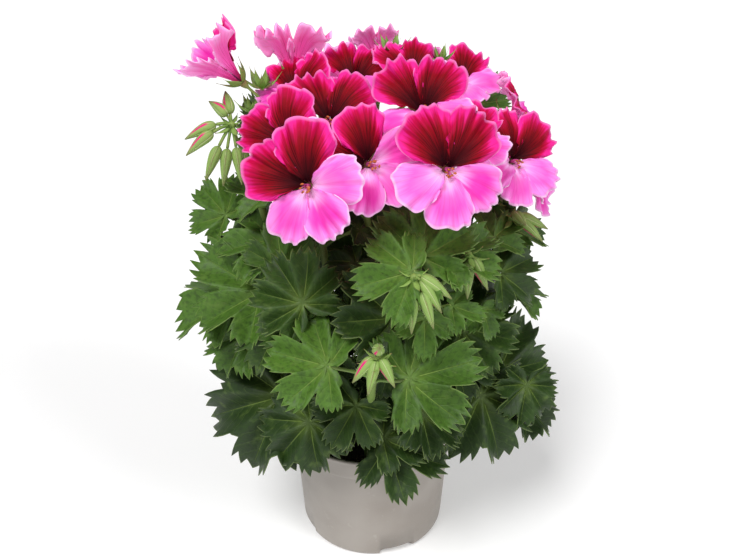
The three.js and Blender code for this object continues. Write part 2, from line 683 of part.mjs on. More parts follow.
/** Leaves in whorls round the sides and back, each a little different. */
function hiddenLeaves(paths) {
  const draw = seeded(4711);
  return WHORLS.flatMap(([height, count, distance], level) => (
    Array.from({ length: count }, (_, k) => {
      const share = (k + 0.5 + 0.3 * (draw() - 0.5)) / count;
      const azimuth = WHORL_ARC[0] + (WHORL_ARC[1] - WHORL_ARC[0]) * share;
      const out = distance + 8 * (draw() - 0.5);
      const at = [out * Math.cos(rad(azimuth)), out * Math.sin(rad(azimuth)), height + 16 * (draw() - 0.5)];
      const reach = paths.slice(0, 8).map((path) => pointAt(path, height - 10).distanceTo(vec(at)));
      return {
        stem: reach.indexOf(Math.min(...reach)) + 1,
        at,
        face: [azimuth + 24 * (draw() - 0.5), 30 + 24 * draw()],
        turn: 150 + 60 * draw(),
        size: 31 + 8 * draw(),
        kind: level % 2 ? 'plain' : 'cut',
        cup: 0.1 * (draw() - 0.5),
      };
    })
  ));
}

/** The pot: a thin tapered shell with an overhanging collar and drain notches round its foot. */
function pot() {
  const profile = [
    [0, 0], [44.6, 0], [46.9, 0.9], [48, 4], [52.7, COLLAR_FOOT],
    [57.3, COLLAR_FOOT], [59.3, POT_HEIGHT - 2], [RIM_RADIUS, POT_HEIGHT - 1.2],
    [RIM_RADIUS - 0.5, POT_HEIGHT], [RIM_RADIUS - 2, POT_HEIGHT], [56.2, LEDGE], [51.3, LEDGE],
    [46.3, 4], [44.4, FLOOR_THICKNESS], [0, FLOOR_THICKNESS],
  ].map(([r, z]) => new THREE.Vector2(r, z));
  const lathe = new THREE.LatheGeometry(profile, POT_SEGMENTS).rotateX(Math.PI / 2);
  const notches = Array.from({ length: DRAIN_NOTCHES }, (_, k) => {
    const notch = new THREE.BoxGeometry(DRAIN.depth, DRAIN.width, DRAIN.height * 2);
    notch.translate(DRAIN.radius, 0, 0);
    notch.rotateZ(THREE.MathUtils.degToRad(DRAIN.azimuth + (360 * k) / DRAIN_NOTCHES));
    return solidOf(notch);
  });
  return solidOf(lathe).subtract(Manifold.union(notches));
}

/** The soil: it fills the pot, is mounded and crumbly on top, and has a plain hole for each stem. */
function soil(paths) {
  const profile = [
    [0, FLOOR_THICKNESS + GAP], [44, FLOOR_THICKNESS + GAP], [45.9, 4.6], [50.9, LEDGE + GAP],
    [55.7, LEDGE + GAP], [56.1, SOIL_EDGE], [42, SOIL_EDGE + 0.4 * SOIL_MOUND],
    [26, SOIL_EDGE + 0.8 * SOIL_MOUND], [0, SOIL_EDGE + SOIL_MOUND],
  ].map(([r, z]) => new THREE.Vector2(r, z));
  const lathe = new THREE.LatheGeometry(profile, POT_SEGMENTS).rotateX(Math.PI / 2);
  const place = lathe.attributes.position;
  for (let k = 0; k < place.count; k += 1) {
    const [x, y, z] = [place.getX(k), place.getY(k), place.getZ(k)];
    if (z >= SOIL_EDGE) place.setZ(k, z + CRUMB * Math.sin(0.9 * x + 1.3 * y) * Math.cos(1.1 * y - 0.6 * x));
  }
  const holes = paths.map((path) => {
    const radius = (STEM_RADIUS.foot + GAP) / Math.cos(Math.PI / HOLE_SIDES);
    const hole = new THREE.CylinderGeometry(radius, radius, 2 * SOIL_EDGE, HOLE_SIDES).rotateX(Math.PI / 2);
    return solidOf(hole.translate(path[0].x, path[0].y, HOLE_FLOOR + SOIL_EDGE));
  });
  return solidOf(lathe).subtract(Manifold.union(holes));
}

const paths = STEMS.map(stemPath);
const leafPlans = [
  ...LEAVES.map(([stem, at, face, turn, size, kind, cup]) => ({ stem, at, face, turn, size, kind, cup })),
  ...hiddenLeaves(paths),
];
const bloomPlans = BLOOMS.map(([stem, at, face, turn, length, open]) => (
  { stem, at, face, turn, length, open }));

const pathOf = ({ stem }) => paths[stem - 1];
const placed = paths.map((path) => footprint([], path, [0, 0]));
const blooms = bloomPlans.map((plan, k) => bendClear(plan, placed, (bloom) => footprint(
  [petalFan(bloom, UPPER_PETALS), petalFan(bloom, LOWER_PETALS)],
  pedicelLine(pathOf(bloom), bloom).slice(1),
  bloom.face,
), { shift: 12, angle: 22 }, 100 + k));
const leaves = leafPlans.map((plan, k) => bendClear(plan, placed, (leaf) => footprint(
  [leafBlade(leaf)],
  petioleLine(pathOf(leaf), leaf).slice(0, -1),
  leaf.face,
), { shift: 16, angle: 34 }, 500 + k));

// What carries the leaves and blooms of each stem
const carriers = paths.map((path, k) => {
  const own = (item) => item.stem === k + 1;
  const top = path.length - 1;
  const radii = path.map((_, j) => (
    THREE.MathUtils.lerp(STEM_RADIUS.foot, STEM_RADIUS.top, Math.max(0, (j - 1) / (top - 1)))));
  return [
    (grow) => rod(path, radii, STEM_SIDES, grow),
    knob(path[top]),
    ...blooms.filter(own).map((bloom) => (grow) => wholeCalyx(path, bloom, grow)),
    ...SPRAYS.filter(([stem]) => stem === k + 1).flatMap((item) => spray(path, item)),
  ];
});
const wideCarriers = carriers.map((makers) => join(makers, GAP));

const group = new THREE.Group();

/** Adds a named piece to the model. */
function add(name, body, colour) {
  const mesh = new THREE.Mesh(geometryOf(body), new THREE.MeshStandardMaterial(COLOURS[colour]));
  mesh.name = name;
  group.add(mesh);
}

add('pot', pot(), 'pot');
add('soil', soil(paths), 'soil');

const widePetals = [];
blooms.forEach((bloom, k) => {
  const name = `bloom_${String(k + 1).padStart(2, '0')}`;
  [['upper', UPPER_PETALS], ['lower', LOWER_PETALS]].forEach(([half, fan]) => {
    const sheet = petalFan(bloom, fan);
    const body = mainPiece(clearOf(blade(sheet, 0), [...wideCarriers, ...widePetals]));
    widePetals.push(blade(sheet, GAP));
    add(`${name}_${half}_petals`, body, `${half}Petal`);
  });
});

const wideLeaves = [];
carriers.forEach((makers, k) => {
  const own = leaves.filter((leaf) => leaf.stem === k + 1).map((leaf) => (
    (grow) => blade(wholeLeaf(paths[k], leaf), grow)));
  const others = wideCarriers.filter((_, j) => j !== k);
  const green = clearOf(join(own), [...others, ...widePetals, ...wideLeaves]);
  const frame = clearOf(join(makers), [...wideCarriers.slice(0, k), ...wideLeaves]);
  wideLeaves.push(join(own, GAP));
  add(`leafy_stem_${k + 1}`, mainPiece(frame.add(green)), STEMS[k].tone);
});

export default group;
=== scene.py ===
"""A potted regal pelargonium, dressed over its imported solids.

Lengths are millimetres up to the moment a mesh is written, which is in metres. The front of the
plant is towards -Y, and the origin is the middle of the pot's flat underside.
"""

from __future__ import annotations

import logging
import math
from dataclasses import dataclass, field
from enum import Enum, IntEnum
from typing import Any, ClassVar

import bpy
import numpy as np
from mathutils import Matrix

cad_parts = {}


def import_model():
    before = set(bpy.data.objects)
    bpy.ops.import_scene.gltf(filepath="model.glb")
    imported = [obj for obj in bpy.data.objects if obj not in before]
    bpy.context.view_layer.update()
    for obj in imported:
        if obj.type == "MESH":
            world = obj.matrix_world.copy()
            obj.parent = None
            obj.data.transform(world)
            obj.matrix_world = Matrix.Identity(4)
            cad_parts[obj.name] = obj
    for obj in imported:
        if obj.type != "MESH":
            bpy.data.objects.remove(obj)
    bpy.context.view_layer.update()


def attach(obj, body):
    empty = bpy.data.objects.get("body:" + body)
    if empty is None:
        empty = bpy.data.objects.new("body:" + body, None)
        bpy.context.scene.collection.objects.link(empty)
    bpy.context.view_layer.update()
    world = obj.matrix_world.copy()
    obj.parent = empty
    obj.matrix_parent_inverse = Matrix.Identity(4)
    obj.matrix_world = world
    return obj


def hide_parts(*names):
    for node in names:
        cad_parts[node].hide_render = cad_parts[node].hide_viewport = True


LOG = logging.getLogger("pelargonium")
Array = np.ndarray
Colour = tuple[float, float, float]

MM = 0.001
UP = np.array((0.0, 0.0, 1.0))

# Pot and soil, as the solids have them
POT_HEIGHT = 90.0
SOIL_EDGE = 78.0
SOIL_MOUND = 4.0
HOLE_FLOOR = 55.0
GAP = 0.3

# Plant, as the solids have it
STEM_RADIUS = (3.1, 1.7)
PETIOLE_RADIUS = 1.0
PEDICEL_RADIUS = 0.85
KNOB_RADIUS = 2.3
CALYX_FOOT = 9.0
CALYX_SEAT = 2.9
CLAW_FOOT = 1.9
CLAW_RADIUS = 1.9
THROAT_RADIUS = 2.8
SEPAL_LENGTH = 13.0
BUD_LENGTH = 18.0
BUD_RADIUS = 2.9
PLEAT = 0.07
RUFFLE = 0.08
BENDS = 48
BLOOM_REACH = (12.0, 22.0)
LEAF_REACH = (16.0, 34.0)
BLOOM_SEED = 100
LEAF_SEED = 500
WHORL_SEED = 4711
PETAL_SEED = 1000
STAMEN_SEED = 2000
BLADE_SEED = 3000
INNER_SEED = 5000
FAR = 3.0  # the most that a point's distance counts where shapes are compared

# Fine sheets and hairs
LEAF_WALL = 0.5
PETAL_WALL = 0.4
HAIR_RADIUS = 0.07
HAIR_LENGTH = 0.9


def tint(red: int, green: int, blue: int) -> Colour:
    """Linear colour of a display colour.

    A channel is divided by 12.92 where it is dark, and elsewhere it follows a power of 2.4.

    Args:
        red: Red from 0 to 255.
        green: Green from 0 to 255.
        blue: Blue from 0 to 255.

    Returns:
        The colour, with channels from 0 to 1.
    """
    return tuple(
        c / 12.92 if c <= 0.04045 else ((c + 0.055) / 1.055) ** 2.4
        for c in (red / 255, green / 255, blue / 255)
    )


def draws(seed: int, count: int) -> Array:
    """Repeatable draws between 0 and 1 from a linear congruential generator.

    Args:
        seed: The generator's first state.
        count: How many draws.

    Returns:
        The draws.
    """
    state, out = seed, np.empty(count)
    for k in range(count):
        state = (state * 1664525 + 1013904223) & 0xFFFFFFFF
        out[k] = state / 4294967296
    return out


def unit(vectors: Array) -> Array:
    """Vectors scaled to a length of one."""
    return vectors / np.maximum(np.linalg.norm(vectors, axis=-1, keepdims=True), 1e-9)


def smooth(x: Array, low: float, high: float) -> Array:
    """Eases from 0 below low to 1 above high, by 3t^2 - 2t^3."""
    t = np.clip((x - low) / (high - low), 0.0, 1.0)
    return t * t * (3.0 - 2.0 * t)


def bezier(start: Array, guide_a: Array, guide_b: Array, end: Array, count: int) -> Array:
    """Points along a cubic Bezier curve.

    Args:
        start: First point.
        guide_a: Guide that the curve leaves towards.
        guide_b: Guide that it arrives from.
        end: Last point.
        count: How many points to return, evenly in the curve's parameter.

    Returns:
        Points of shape (count, 3).
    """
    t = np.linspace(0.0, 1.0, count)[:, None]
    s = 1.0 - t
    return s**3 * start + 3 * s * s * t * guide_a + 3 * s * t * t * guide_b + t**3 * end


def spline(points: Array, count: int) -> Array:
    """Points along a centripetal Catmull-Rom curve through given points.

    Args:
        points: The points that the curve passes, shape (n, 3).
        count: How many points to return, evenly in the curve's parameter.

    Returns:
        Points of shape (count, 3): each stretch is a cubic whose end slopes come from the two
        points before and after it, spaced by the square root of their distances.
    """
    ends = np.vstack((2 * points[0] - points[1], points, 2 * points[-1] - points[-2]))
    place = np.linspace(0.0, len(points) - 1, count)
    first = np.minimum(place.astype(int), len(points) - 2)
    x0, x1, x2, x3 = (ends[first + k] for k in range(4))
    d0, d1, d2 = (
        np.sqrt(np.linalg.norm(b - a, axis=1, keepdims=True))
        for a, b in ((x0, x1), (x1, x2), (x2, x3))
    )
    leave = ((x1 - x0) / d0 - (x2 - x0) / (d0 + d1) + (x2 - x1) / d1) * d1
    arrive = ((x2 - x1) / d1 - (x3 - x1) / (d1 + d2) + (x3 - x2) / d2) * d1
    t = (place - first)[:, None]
    c2 = -3 * x1 + 3 * x2 - 2 * leave - arrive
    c3 = 2 * x1 - 2 * x2 + leave + arrive
    return x1 + leave * t + c2 * t * t + c3 * t**3


@dataclass(frozen=True)
class Axes:
    """Directions of one piece, or of several ways of bending it: front, heading and side."""

    front: Array
    heading: Array
    side: Array

    @classmethod
    def of(cls, face: Array, turn: Array | float) -> Axes:
        """Works out the axes of a piece.

        Args:
            face: Azimuth and elevation of its front, in degrees, shape (..., 2).
            turn: Turn of its heading from upright, counter-clockwise in front, in degrees.

        Returns:
            The axes, each of shape (..., 3): side is front crossed with heading.
        """
        a, e = np.radians(face[..., 0]), np.radians(face[..., 1])
        front = np.stack((np.cos(e) * np.cos(a), np.cos(e) * np.sin(a), np.sin(e)), -1)
        upright = unit(UP - front * front[..., 2:])
        angle = np.radians(np.asarray(turn, float))[..., None]
        heading = upright * np.cos(angle) + np.cross(front, upright) * np.sin(angle)
        return cls(front, heading, np.cross(front, heading))

    def place(self, at: Array, along: Array, across: Array, rise: Array) -> Array:
        """Points at distances from a place.

        Args:
            at: The place, shape (..., 3).
            along: Distances along the heading, shape (..., points), as the next two.
            across: Distances along the side.
            rise: Distances along the front.

        Returns:
            Points of shape (..., points, 3).
        """
        return (
            at[..., None, :]
            + along[..., None] * self.heading[..., None, :]
            + across[..., None] * self.side[..., None, :]
            + rise[..., None] * self.front[..., None, :]
        )


@dataclass(frozen=True)
class Stance:
    """Where a leaf or a bloom is and how it faces; arrays hold several ways of bending it."""

    at: Array
    face: Array
    turn: Array | float

    def bends(self, seed: int, reach: tuple[float, float]) -> Stance:
        """All small changes that the piece may have been given, growing from none.

        Args:
            seed: Seed of its draws.
            reach: Largest shift in millimetres and largest angle in degrees.

        Returns:
            Stances of shape (BENDS + 1, ...), the first of which is this one.
        """
        draw = 2.0 * draws(seed, 6 * (BENDS + 1)).reshape(-1, 6) - 1.0
        draw *= np.arange(BENDS + 1)[:, None] / BENDS
        return Stance(
            self.at + reach[0] * draw[:, :3],
            self.face + reach[1] * draw[:, 3:5],
            self.turn + reach[1] * draw[:, 5],
        )

    def pick(self, k: int) -> Stance:
        """One of several stances."""
        return Stance(self.at[k], self.face[k], self.turn[k])


def node_points(name: str) -> Array:
    """Vertices of a solid of the frame.

    Args:
        name: The solid's node.

    Returns:
        Its vertices in millimetres, each once.
    """
    mesh = bpy.data.objects[name].data
    flat = np.empty(len(mesh.vertices) * 3, np.float32)
    mesh.vertices.foreach_get("co", flat)
    return np.unique(flat.reshape(-1, 3).round(5), axis=0).astype(float) / MM


def closest_bend(samples: Array, vertices: Array) -> int:
    """Which way of bending a piece the solid shows.

    Args:
        samples: Points that each way puts on the piece, shape (ways, points, 3).
        vertices: The solid's vertices.

    Returns:
        The way whose points lie closest to vertices, no distance counting more than FAR.
    """
    near = [np.linalg.norm(way[:, None] - vertices[None], axis=2).min(1) for way in samples]
    return int(np.minimum(np.array(near), FAR).mean(1).argmin())


@dataclass(frozen=True)
class LeafForm:
    """Outline of a leaf.

    The solid's corners are its lobes as (angle, reach), the notches' share of reach, and teeth as
    (place across the lobe, share). The fine edge has more teeth on each half lobe, and its
    fullness is the power by which a lobe keeps its reach before it falls to the notch.
    """

    lobes: tuple[tuple[float, float], ...]
    notch: float
    teeth: tuple[tuple[float, float], ...]
    fine_teeth: int
    fullness: float

    @property
    def half(self) -> float:
        """Half the angle of a lobe, in degrees."""
        return (self.lobes[1][0] - self.lobes[0][0]) / 2

    def knots(self) -> Array:
        """Works out the corners of the outline.

        Returns:
            Rows of angle, reach and place across the lobe, from one side of the leaf to the other.
        """
        rows = []
        for k, (angle, reach) in enumerate(self.lobes):
            rows += [(angle - self.half * p, reach * q, -p) for p, q in reversed(self.teeth)]
            rows.append((angle, reach, 0.0))
            rows += [(angle + self.half * p, reach * q, p) for p, q in self.teeth]
            if k + 1 < len(self.lobes):
                depth = self.notch * (reach + self.lobes[k + 1][1]) / 2
                rows.append((angle + self.half, depth, 1.0))
        return np.array(rows)


class LeafKind(Enum):
    """The plant's leaf outlines."""

    BROAD = LeafForm(
        ((-132, 0.62), (-90, 0.8), (-45, 0.93), (0, 1), (45, 0.93), (90, 0.8), (132, 0.62)),
        notch=0.66, teeth=((0.3, 0.86), (0.6, 0.93)), fine_teeth=3, fullness=4.5,
    )
    ROUND = LeafForm(
        ((-126, 0.66), (-84, 0.82), (-42, 0.94), (0, 1), (42, 0.94), (84, 0.82), (126, 0.66)),
        notch=0.68, teeth=((0.52, 0.93),), fine_teeth=3, fullness=4.5,
    )
    CUT = LeafForm(
        ((-108, 0.68), (-54, 0.9), (0, 1), (54, 0.9), (108, 0.68)),
        notch=0.44, teeth=((0.46, 0.84),), fine_teeth=4, fullness=4.0,
    )
    PLAIN = LeafForm(
        ((-112, 0.7), (-56, 0.9), (0, 1), (56, 0.9), (112, 0.7)),
        notch=0.6, teeth=(), fine_teeth=4, fullness=3.6,
    )
    YOUNG = LeafForm(
        ((-62, 0.8), (0, 1), (62, 0.8)),
        notch=0.46, teeth=((0.44, 0.8),), fine_teeth=4, fullness=2.6,
    )


@dataclass(frozen=True)
class LeafPlan:
    """A leaf before bending: its stem, stance, length, outline and cup."""

    stem: int
    stance: Stance
    size: float
    form: LeafForm
    cup: float


@dataclass(frozen=True)
class BloomPlan:
    """A bloom before bending: its stem, stance, petal length and opening angle."""

    stem: int
    stance: Stance
    length: float
    open: float


# Each stem: where it enters the soil, and the points that it passes up to its hub
STEMS = (
    ((-21, -4), (-24, -5, 100), (-36, -9, 150), (-54, -14, 205), (-72, -18, 286)),
    ((-11, -21), (-12, -23, 100), (-18, -30, 150), (-26, -34, 210), (-30, -38, 262)),
    ((4, -23), (4, -25, 100), (3, -30, 150), (0, -32, 210), (-4, -36, 264)),
    ((18, -16), (20, -18, 100), (25, -26, 150), (30, -30, 210), (33, -34, 258)),
    ((24, 3), (28, 2, 100), (42, -4, 145), (58, -8, 195), (70, -4, 244)),
    ((-14, 14), (-16, 15, 100), (-26, 18, 150), (-38, 18, 215), (-46, 12, 272)),
    ((2, 22), (2, 24, 100), (0, 32, 150), (0, 36, 220), (0, 36, 274)),
    ((16, 14), (18, 16, 100), (30, 24, 150), (42, 28, 215), (50, 28, 266)),
    ((-2, -38), (-2, -42, 94), (-2, -58, 120), (0, -78, 160), (3, -94, 192)),
    ((14, -34), (16, -40, 100), (20, -56, 150), (24, -76, 206), (23, -90, 236)),
)
PALE_STEMS = (9, 10)

# Each leaf: stem, place, azimuth and elevation of its front, turn, size, outline and cup
BROAD, ROUND, CUT, YOUNG = LeafKind.BROAD, LeafKind.ROUND, LeafKind.CUT, LeafKind.YOUNG
LEAVES = (
    (1, (-53, -45, 131), (-104, 34), 112, 55, BROAD, -0.1),
    (2, (-35, -70, 127), (-98, 30), 150, 35, BROAD, -0.1),
    (9, (-23, -93, 186), (-104, 38), 84, 34, CUT, 0.1),
    (9, (19, -96, 180), (-78, 42), -82, 40, CUT, 0.12),
    (5, (65, -50, 136), (-68, 34), 192, 42, BROAD, -0.12),
    (5, (79, -25, 134), (-62, 42), -48, 42, BROAD, 0.1),
    (5, (97, -18, 108), (-50, 36), -112, 31, ROUND, -0.1),
    (4, (89, -44, 143), (-66, 18), 172, 25, ROUND, 0.1),
    (4, (9, -62, 106), (-84, 54), -112, 37, CUT, 0),
    (3, (6, -64, 118), (-84, 40), -52, 30, CUT, 0.05),
    (4, (34, -62, 130), (-70, 38), -146, 27, ROUND, 0),
    (2, (-9, -74, 146), (-96, 34), 152, 28, CUT, 0),
    (3, (5, -78, 204), (-92, 34), 28, 36, BROAD, 0.08),
    (2, (-37, -72, 212), (-104, 30), 42, 31, ROUND, 0.1),
    (2, (-33, -78, 200), (-106, 48), 112, 28, ROUND, -0.05),
    (1, (-51, -58, 190), (-112, 46), 118, 31, ROUND, -0.08),
    (1, (-63, -45, 204), (-114, 46), 74, 46, CUT, 0.08),
    (1, (-80, -24, 188), (-140, 66), 92, 46, CUT, -0.05),
    (1, (-78, -38, 176), (-122, 42), 118, 29, ROUND, 0),
    (6, (-85, -8, 234), (-112, 38), 58, 28, CUT, 0.1),
    (1, (-64, -24, 233), (-116, 44), 104, 32, CUT, 0),
    (1, (-76, -22, 216), (-128, 50), 122, 24, YOUNG, 0),
    (2, (-50, -50, 222), (-104, 34), 16, 27, CUT, 0.12),
    (1, (-58, -26, 256), (-128, 72), 96, 25, YOUNG, 0.1),
    (10, (26, -82, 246), (-88, 32), -8, 33, CUT, 0.18),
    (10, (18, -92, 246), (-98, 46), 94, 30, CUT, 0),
    (10, (40, -74, 243), (-70, 62), -74, 30, CUT, 0),
    (5, (72, -42, 214), (-66, 42), -78, 29, CUT, 0),
    (5, (82, -26, 194), (-50, 66), -104, 27, YOUNG, 0),
    (4, (62, -54, 198), (-72, 26), -164, 19, YOUNG, 0),
    (10, (44, -78, 212), (-78, 42), -116, 19, YOUNG, 0),
    (10, (28, -86, 212), (-86, 40), 178, 21, YOUNG, 0),
    (4, (50, -44, 184), (-72, 46), -94, 34, ROUND, 0),
    (4, (56, -52, 162), (-72, 40), -128, 26, CUT, 0),
    (8, (64, 45, 284), (-74, 40), -34, 23, CUT, 0.05),
    (5, (82, -8, 226), (-52, 50), -78, 26, CUT, 0),
    (5, (68, -34, 232), (-70, 52), -60, 24, YOUNG, 0),
    (3, (-14, -40, 228), (-94, 40), 20, 30, ROUND, 0),
    (6, (-42, -22, 214), (-110, 40), 60, 30, ROUND, 0),
    (6, (-62, 4, 286), (-130, 40), 60, 20, YOUNG, 0.2),
)
# Each whorl of leaves at the sides and back: height, count and distance from the middle
WHORLS = ((108, 4, 62), (146, 4, 66), (184, 4, 66), (220, 4, 66), (250, 3, 60))
WHORL_ARC = (-8, 188)
WHORL_STEMS = 8

# Each bloom: stem, place, azimuth and elevation of its front, turn, petal length and opening
BLOOMS = (
    (2, (-30, -94, 291), (-106, 24), 42, 30, 76),
    (2, (-40, -66, 300), (-124, 34), 46, 27, 70),
    (2, (-21, -44, 303), (-94, 50), 0, 28, 70),
    (3, (-5, -75, 299), (-82, 32), 50, 27, 74),
    (4, (26, -50, 311), (-96, 46), 10, 29, 72),
    (4, (36, -86, 296), (-78, 24), -6, 30, 76),
    (4, (52, -52, 299), (-66, 52), -14, 24, 62),
    (5, (76, -30, 277), (-58, 28), -20, 28, 68),
    (5, (90, -2, 256), (-18, 14), -24, 26, 66),
    (5, (80, 8, 287), (0, 34), 0, 26, 66),
    (8, (50, 22, 302), (-70, 66), 0, 26, 66),
    (2, (-40, -12, 306), (-128, 56), 10, 25, 62),
    (3, (-12, -2, 311), (-96, 66), 0, 26, 64),
    (3, (20, -4, 309), (-78, 66), 0, 24, 62),
    (6, (-70, -15, 318), (182, 42), 0, 33, 30),
    (6, (-44, 6, 314), (92, 62), 0, 33, 38),
    (7, (2, 30, 318), (100, 56), 0, 19, 48),
    (6, (-52, 52, 280), (132, 34), 0, 28, 70),
    (7, (-16, 76, 284), (98, 34), 12, 29, 72),
    (7, (28, 72, 290), (78, 42), -8, 29, 72),
    (8, (58, 68, 268), (58, 26), 8, 27, 70),
    (8, (92, 36, 256), (20, 28), 0, 26, 68),
)
# Each spray of buds: stem, height where it leaves the stem, its hub and the buds' tips
SPRAYS = (
    (1, 270, (-76, -20, 294), ((-101, -26, 288), (-100, -32, 281), (-90, -36, 268),
     (-81, -34, 264), (-71, -32, 264), (-88, -16, 306), (-80, -8, 309))),
    (10, 230, (21, -98, 243), ((20, -108, 216), (31, -108, 219), (35, -104, 226),
     (40, -102, 233))),
    (10, 214, (50, -76, 244), ((50, -82, 221), (61, -78, 224))),
    (5, 225, (80, -20, 238), ((100, -26, 234), (97, -30, 228), (86, -34, 240))),
    (9, 170, (3, -100, 196), ((-10, -108, 186), (-2, -112, 181), (12, -108, 183),
     (4, -106, 206))),
    (7, 250, (4, 26, 300), ((14, 24, 320), (8, 34, 322), (20, 32, 314))),
)
# Each tuft of young leaves: stem, foot and length
TUFTS = (
    (7, (11, 12, 325), 12), (8, (38, 10, 321), 10), (6, (-60, -8, 311), 13),
    (6, (-65, -12, 299), 11),
)


class StalkSlot(IntEnum):
    """Material slots of a stem's stalks."""

    STALK = 0
    SEPAL = 1
    BUD = 2
    HAIR = 3


class StamenSlot(IntEnum):
    """Material slots of a bloom's stamens."""

    FILAMENT = 0
    ANTHER = 1


NO_QUADS = np.empty((0, 4), int)
NO_TRIS = np.empty((0, 3), int)


@dataclass
class Skin:
    """Points, faces and values gathered for one mesh."""

    points: list[Array] = field(default_factory=list)
    quads: list[Array] = field(default_factory=list)
    tris: list[Array] = field(default_factory=list)
    quad_slots: list[Array] = field(default_factory=list)
    tri_slots: list[Array] = field(default_factory=list)
    values: list[tuple[int, dict[str, Array]]] = field(default_factory=list)
    count: int = 0

    def add(
        self, points: Array, quads: Array, tris: Array, slot: int = 0, **values: Array | float
    ) -> None:
        """Adds points with their faces.

        Args:
            points: Shape (n, 3), in millimetres.
            quads: Corners of four-sided faces, counted from this call's first point.
            tris: Corners of triangles.
            slot: Material slot of the faces.
            **values: Numbers that the materials read, each one number or one a point.
        """
        self.points.append(points)
        self.quads.append(quads.reshape(-1, 4) + self.count)
        self.tris.append(tris.reshape(-1, 3) + self.count)
        self.quad_slots.append(np.full(quads.size // 4, slot))
        self.tri_slots.append(np.full(tris.size // 3, slot))
        spread = {k: np.broadcast_to(v, (len(points),)) for k, v in values.items()}
        self.values.append((self.count, spread))
        self.count += len(points)

    def grid(
        self, points: Array, slot: int = 0, ring: bool = False,
        poles: tuple[bool, bool] = (False, False), **values: Array | float,
    ) -> None:
        """Adds a surface worked out on a grid.

        Args:
            points: Shape (rows, columns, 3). Faces point the way of rows crossed with columns.
            slot: Material slot of the faces.
            ring: Whether the last column joins the first.
            poles: Whether the first and the last row close in a point at their middle.
            **values: Numbers that the materials read, each one number or shape (rows, columns).
        """
        rows, cols = points.shape[:2]
        index = np.arange(rows * cols).reshape(rows, cols)
        if ring:
            index = np.hstack((index, index[:, :1]))
        a, b = index[:-1, :-1], index[1:, :-1]
        c, d = index[1:, 1:], index[:-1, 1:]
        quads = np.stack((a, b, c, d), -1)
        flat = [points.reshape(-1, 3)]
        spread = {k: [np.broadcast_to(v, (rows, cols)).ravel()] for k, v in values.items()}
        tris = []
        for row, wanted in zip((0, rows - 1), poles):
            if not wanted:
                continue
            pole = sum(len(part) for part in flat)
            flat.append(points[row].mean(0)[None])
            for k, v in values.items():
                spread[k].append(np.atleast_1d(np.broadcast_to(v, (rows, cols))[row].mean()))
            here, following = index[row, :-1], index[row, 1:]
            order = (here, following) if row == 0 else (following, here)
            tris.append(np.stack((np.full_like(here, pole), *order), -1))
        self.add(
            np.vstack(flat), quads, np.vstack(tris) if tris else NO_TRIS, slot,
            **{k: np.concatenate(v) for k, v in spread.items()},
        )

    def tube(
        self, path: Array, radii: Array, sides: int, slot: int = 0, shape: Array | float = 1.0
    ) -> None:
        """Adds a closed round along a path.

        A ring is a point of the path, plus the radius times the cosine and the sine of an angle
        along two directions across the path.

        Args:
            path: Its middle line, shape (n, 3).
            radii: Its radius at each point of the line.
            sides: How many sides it has.
            slot: Material slot.
            shape: Factor on the radius at each side, for ridges.
        """
        tangent = unit(np.gradient(path, axis=0))
        mean = unit(tangent.mean(0))
        across = np.cross(mean, np.eye(3)[np.abs(mean).argmin()])
        normal = unit(across - tangent * (tangent @ across)[:, None])
        beside = np.cross(tangent, normal)
        angle = np.linspace(0.0, 2 * np.pi, sides, endpoint=False)
        cosine, sine = np.cos(angle)[:, None], np.sin(angle)[:, None]
        wheel = normal[:, None] * cosine + beside[:, None] * sine
        reach = np.asarray(radii)[:, None] * np.broadcast_to(shape, sides)
        points = path[:, None] + wheel * reach[..., None]
        along = np.linspace(0.0, 1.0, len(path))[:, None]
        around = angle[None, ::-1] / (2 * np.pi)
        self.grid(
            points[:, ::-1], slot, ring=True, poles=(True, True), along=along, around=around,
        )

    def hairs(
        self, path: Array, radii: Array, count: int, seed: int, length: float = HAIR_LENGTH
    ) -> None:
        """Adds fine three-sided hairs that stand out of a round and lean along it.

        Args:
            path: The round's middle line.
            radii: Its radius at each point of the line.
            count: How many hairs.
            seed: Seed of their places.
            length: Their mean length.
        """
        draw, sunk, lean = np.random.default_rng(seed), 0.9, 0.2
        place = draw.uniform(0, len(path) - 1.001, count)
        first, share = place.astype(int), (place % 1.0)[:, None]
        base = path[first] * (1 - share) + path[first + 1] * share
        thick = (radii[first] * (1 - share[:, 0]) + radii[first + 1] * share[:, 0])[:, None]
        tangent = unit(path[first + 1] - path[first])
        out = draw.normal(size=(count, 3))
        out = unit(out - tangent * (out * tangent).sum(1, keepdims=True))
        tip = base + out * (thick + length * draw.uniform(0.6, 1.3, (count, 1)))
        self.spikes(base + out * thick * sunk, tip + tangent * lean * length)

    def spikes(self, feet: Array, tips: Array) -> None:
        """Adds slim closed three-sided spikes.

        Args:
            feet: Middles of their feet, shape (n, 3).
            tips: Their points, shape (n, 3).
        """
        axis = unit(tips - feet)
        aslant = np.array((0.31, 0.52, 0.79))
        one = unit(np.cross(axis, aslant))
        two = np.cross(axis, one)
        corners = [
            feet + HAIR_RADIUS * (math.cos(a) * one + math.sin(a) * two)
            for a in (0.0, 2 * math.pi / 3, 4 * math.pi / 3)
        ]
        points = np.stack((*corners, tips), 1).reshape(-1, 3)
        pattern = np.array(((0, 1, 3), (1, 2, 3), (2, 0, 3), (0, 2, 1)))
        tris = (np.arange(len(feet))[:, None, None] * 4 + pattern).reshape(-1, 3)
        self.add(points, NO_QUADS, tris, StalkSlot.HAIR)

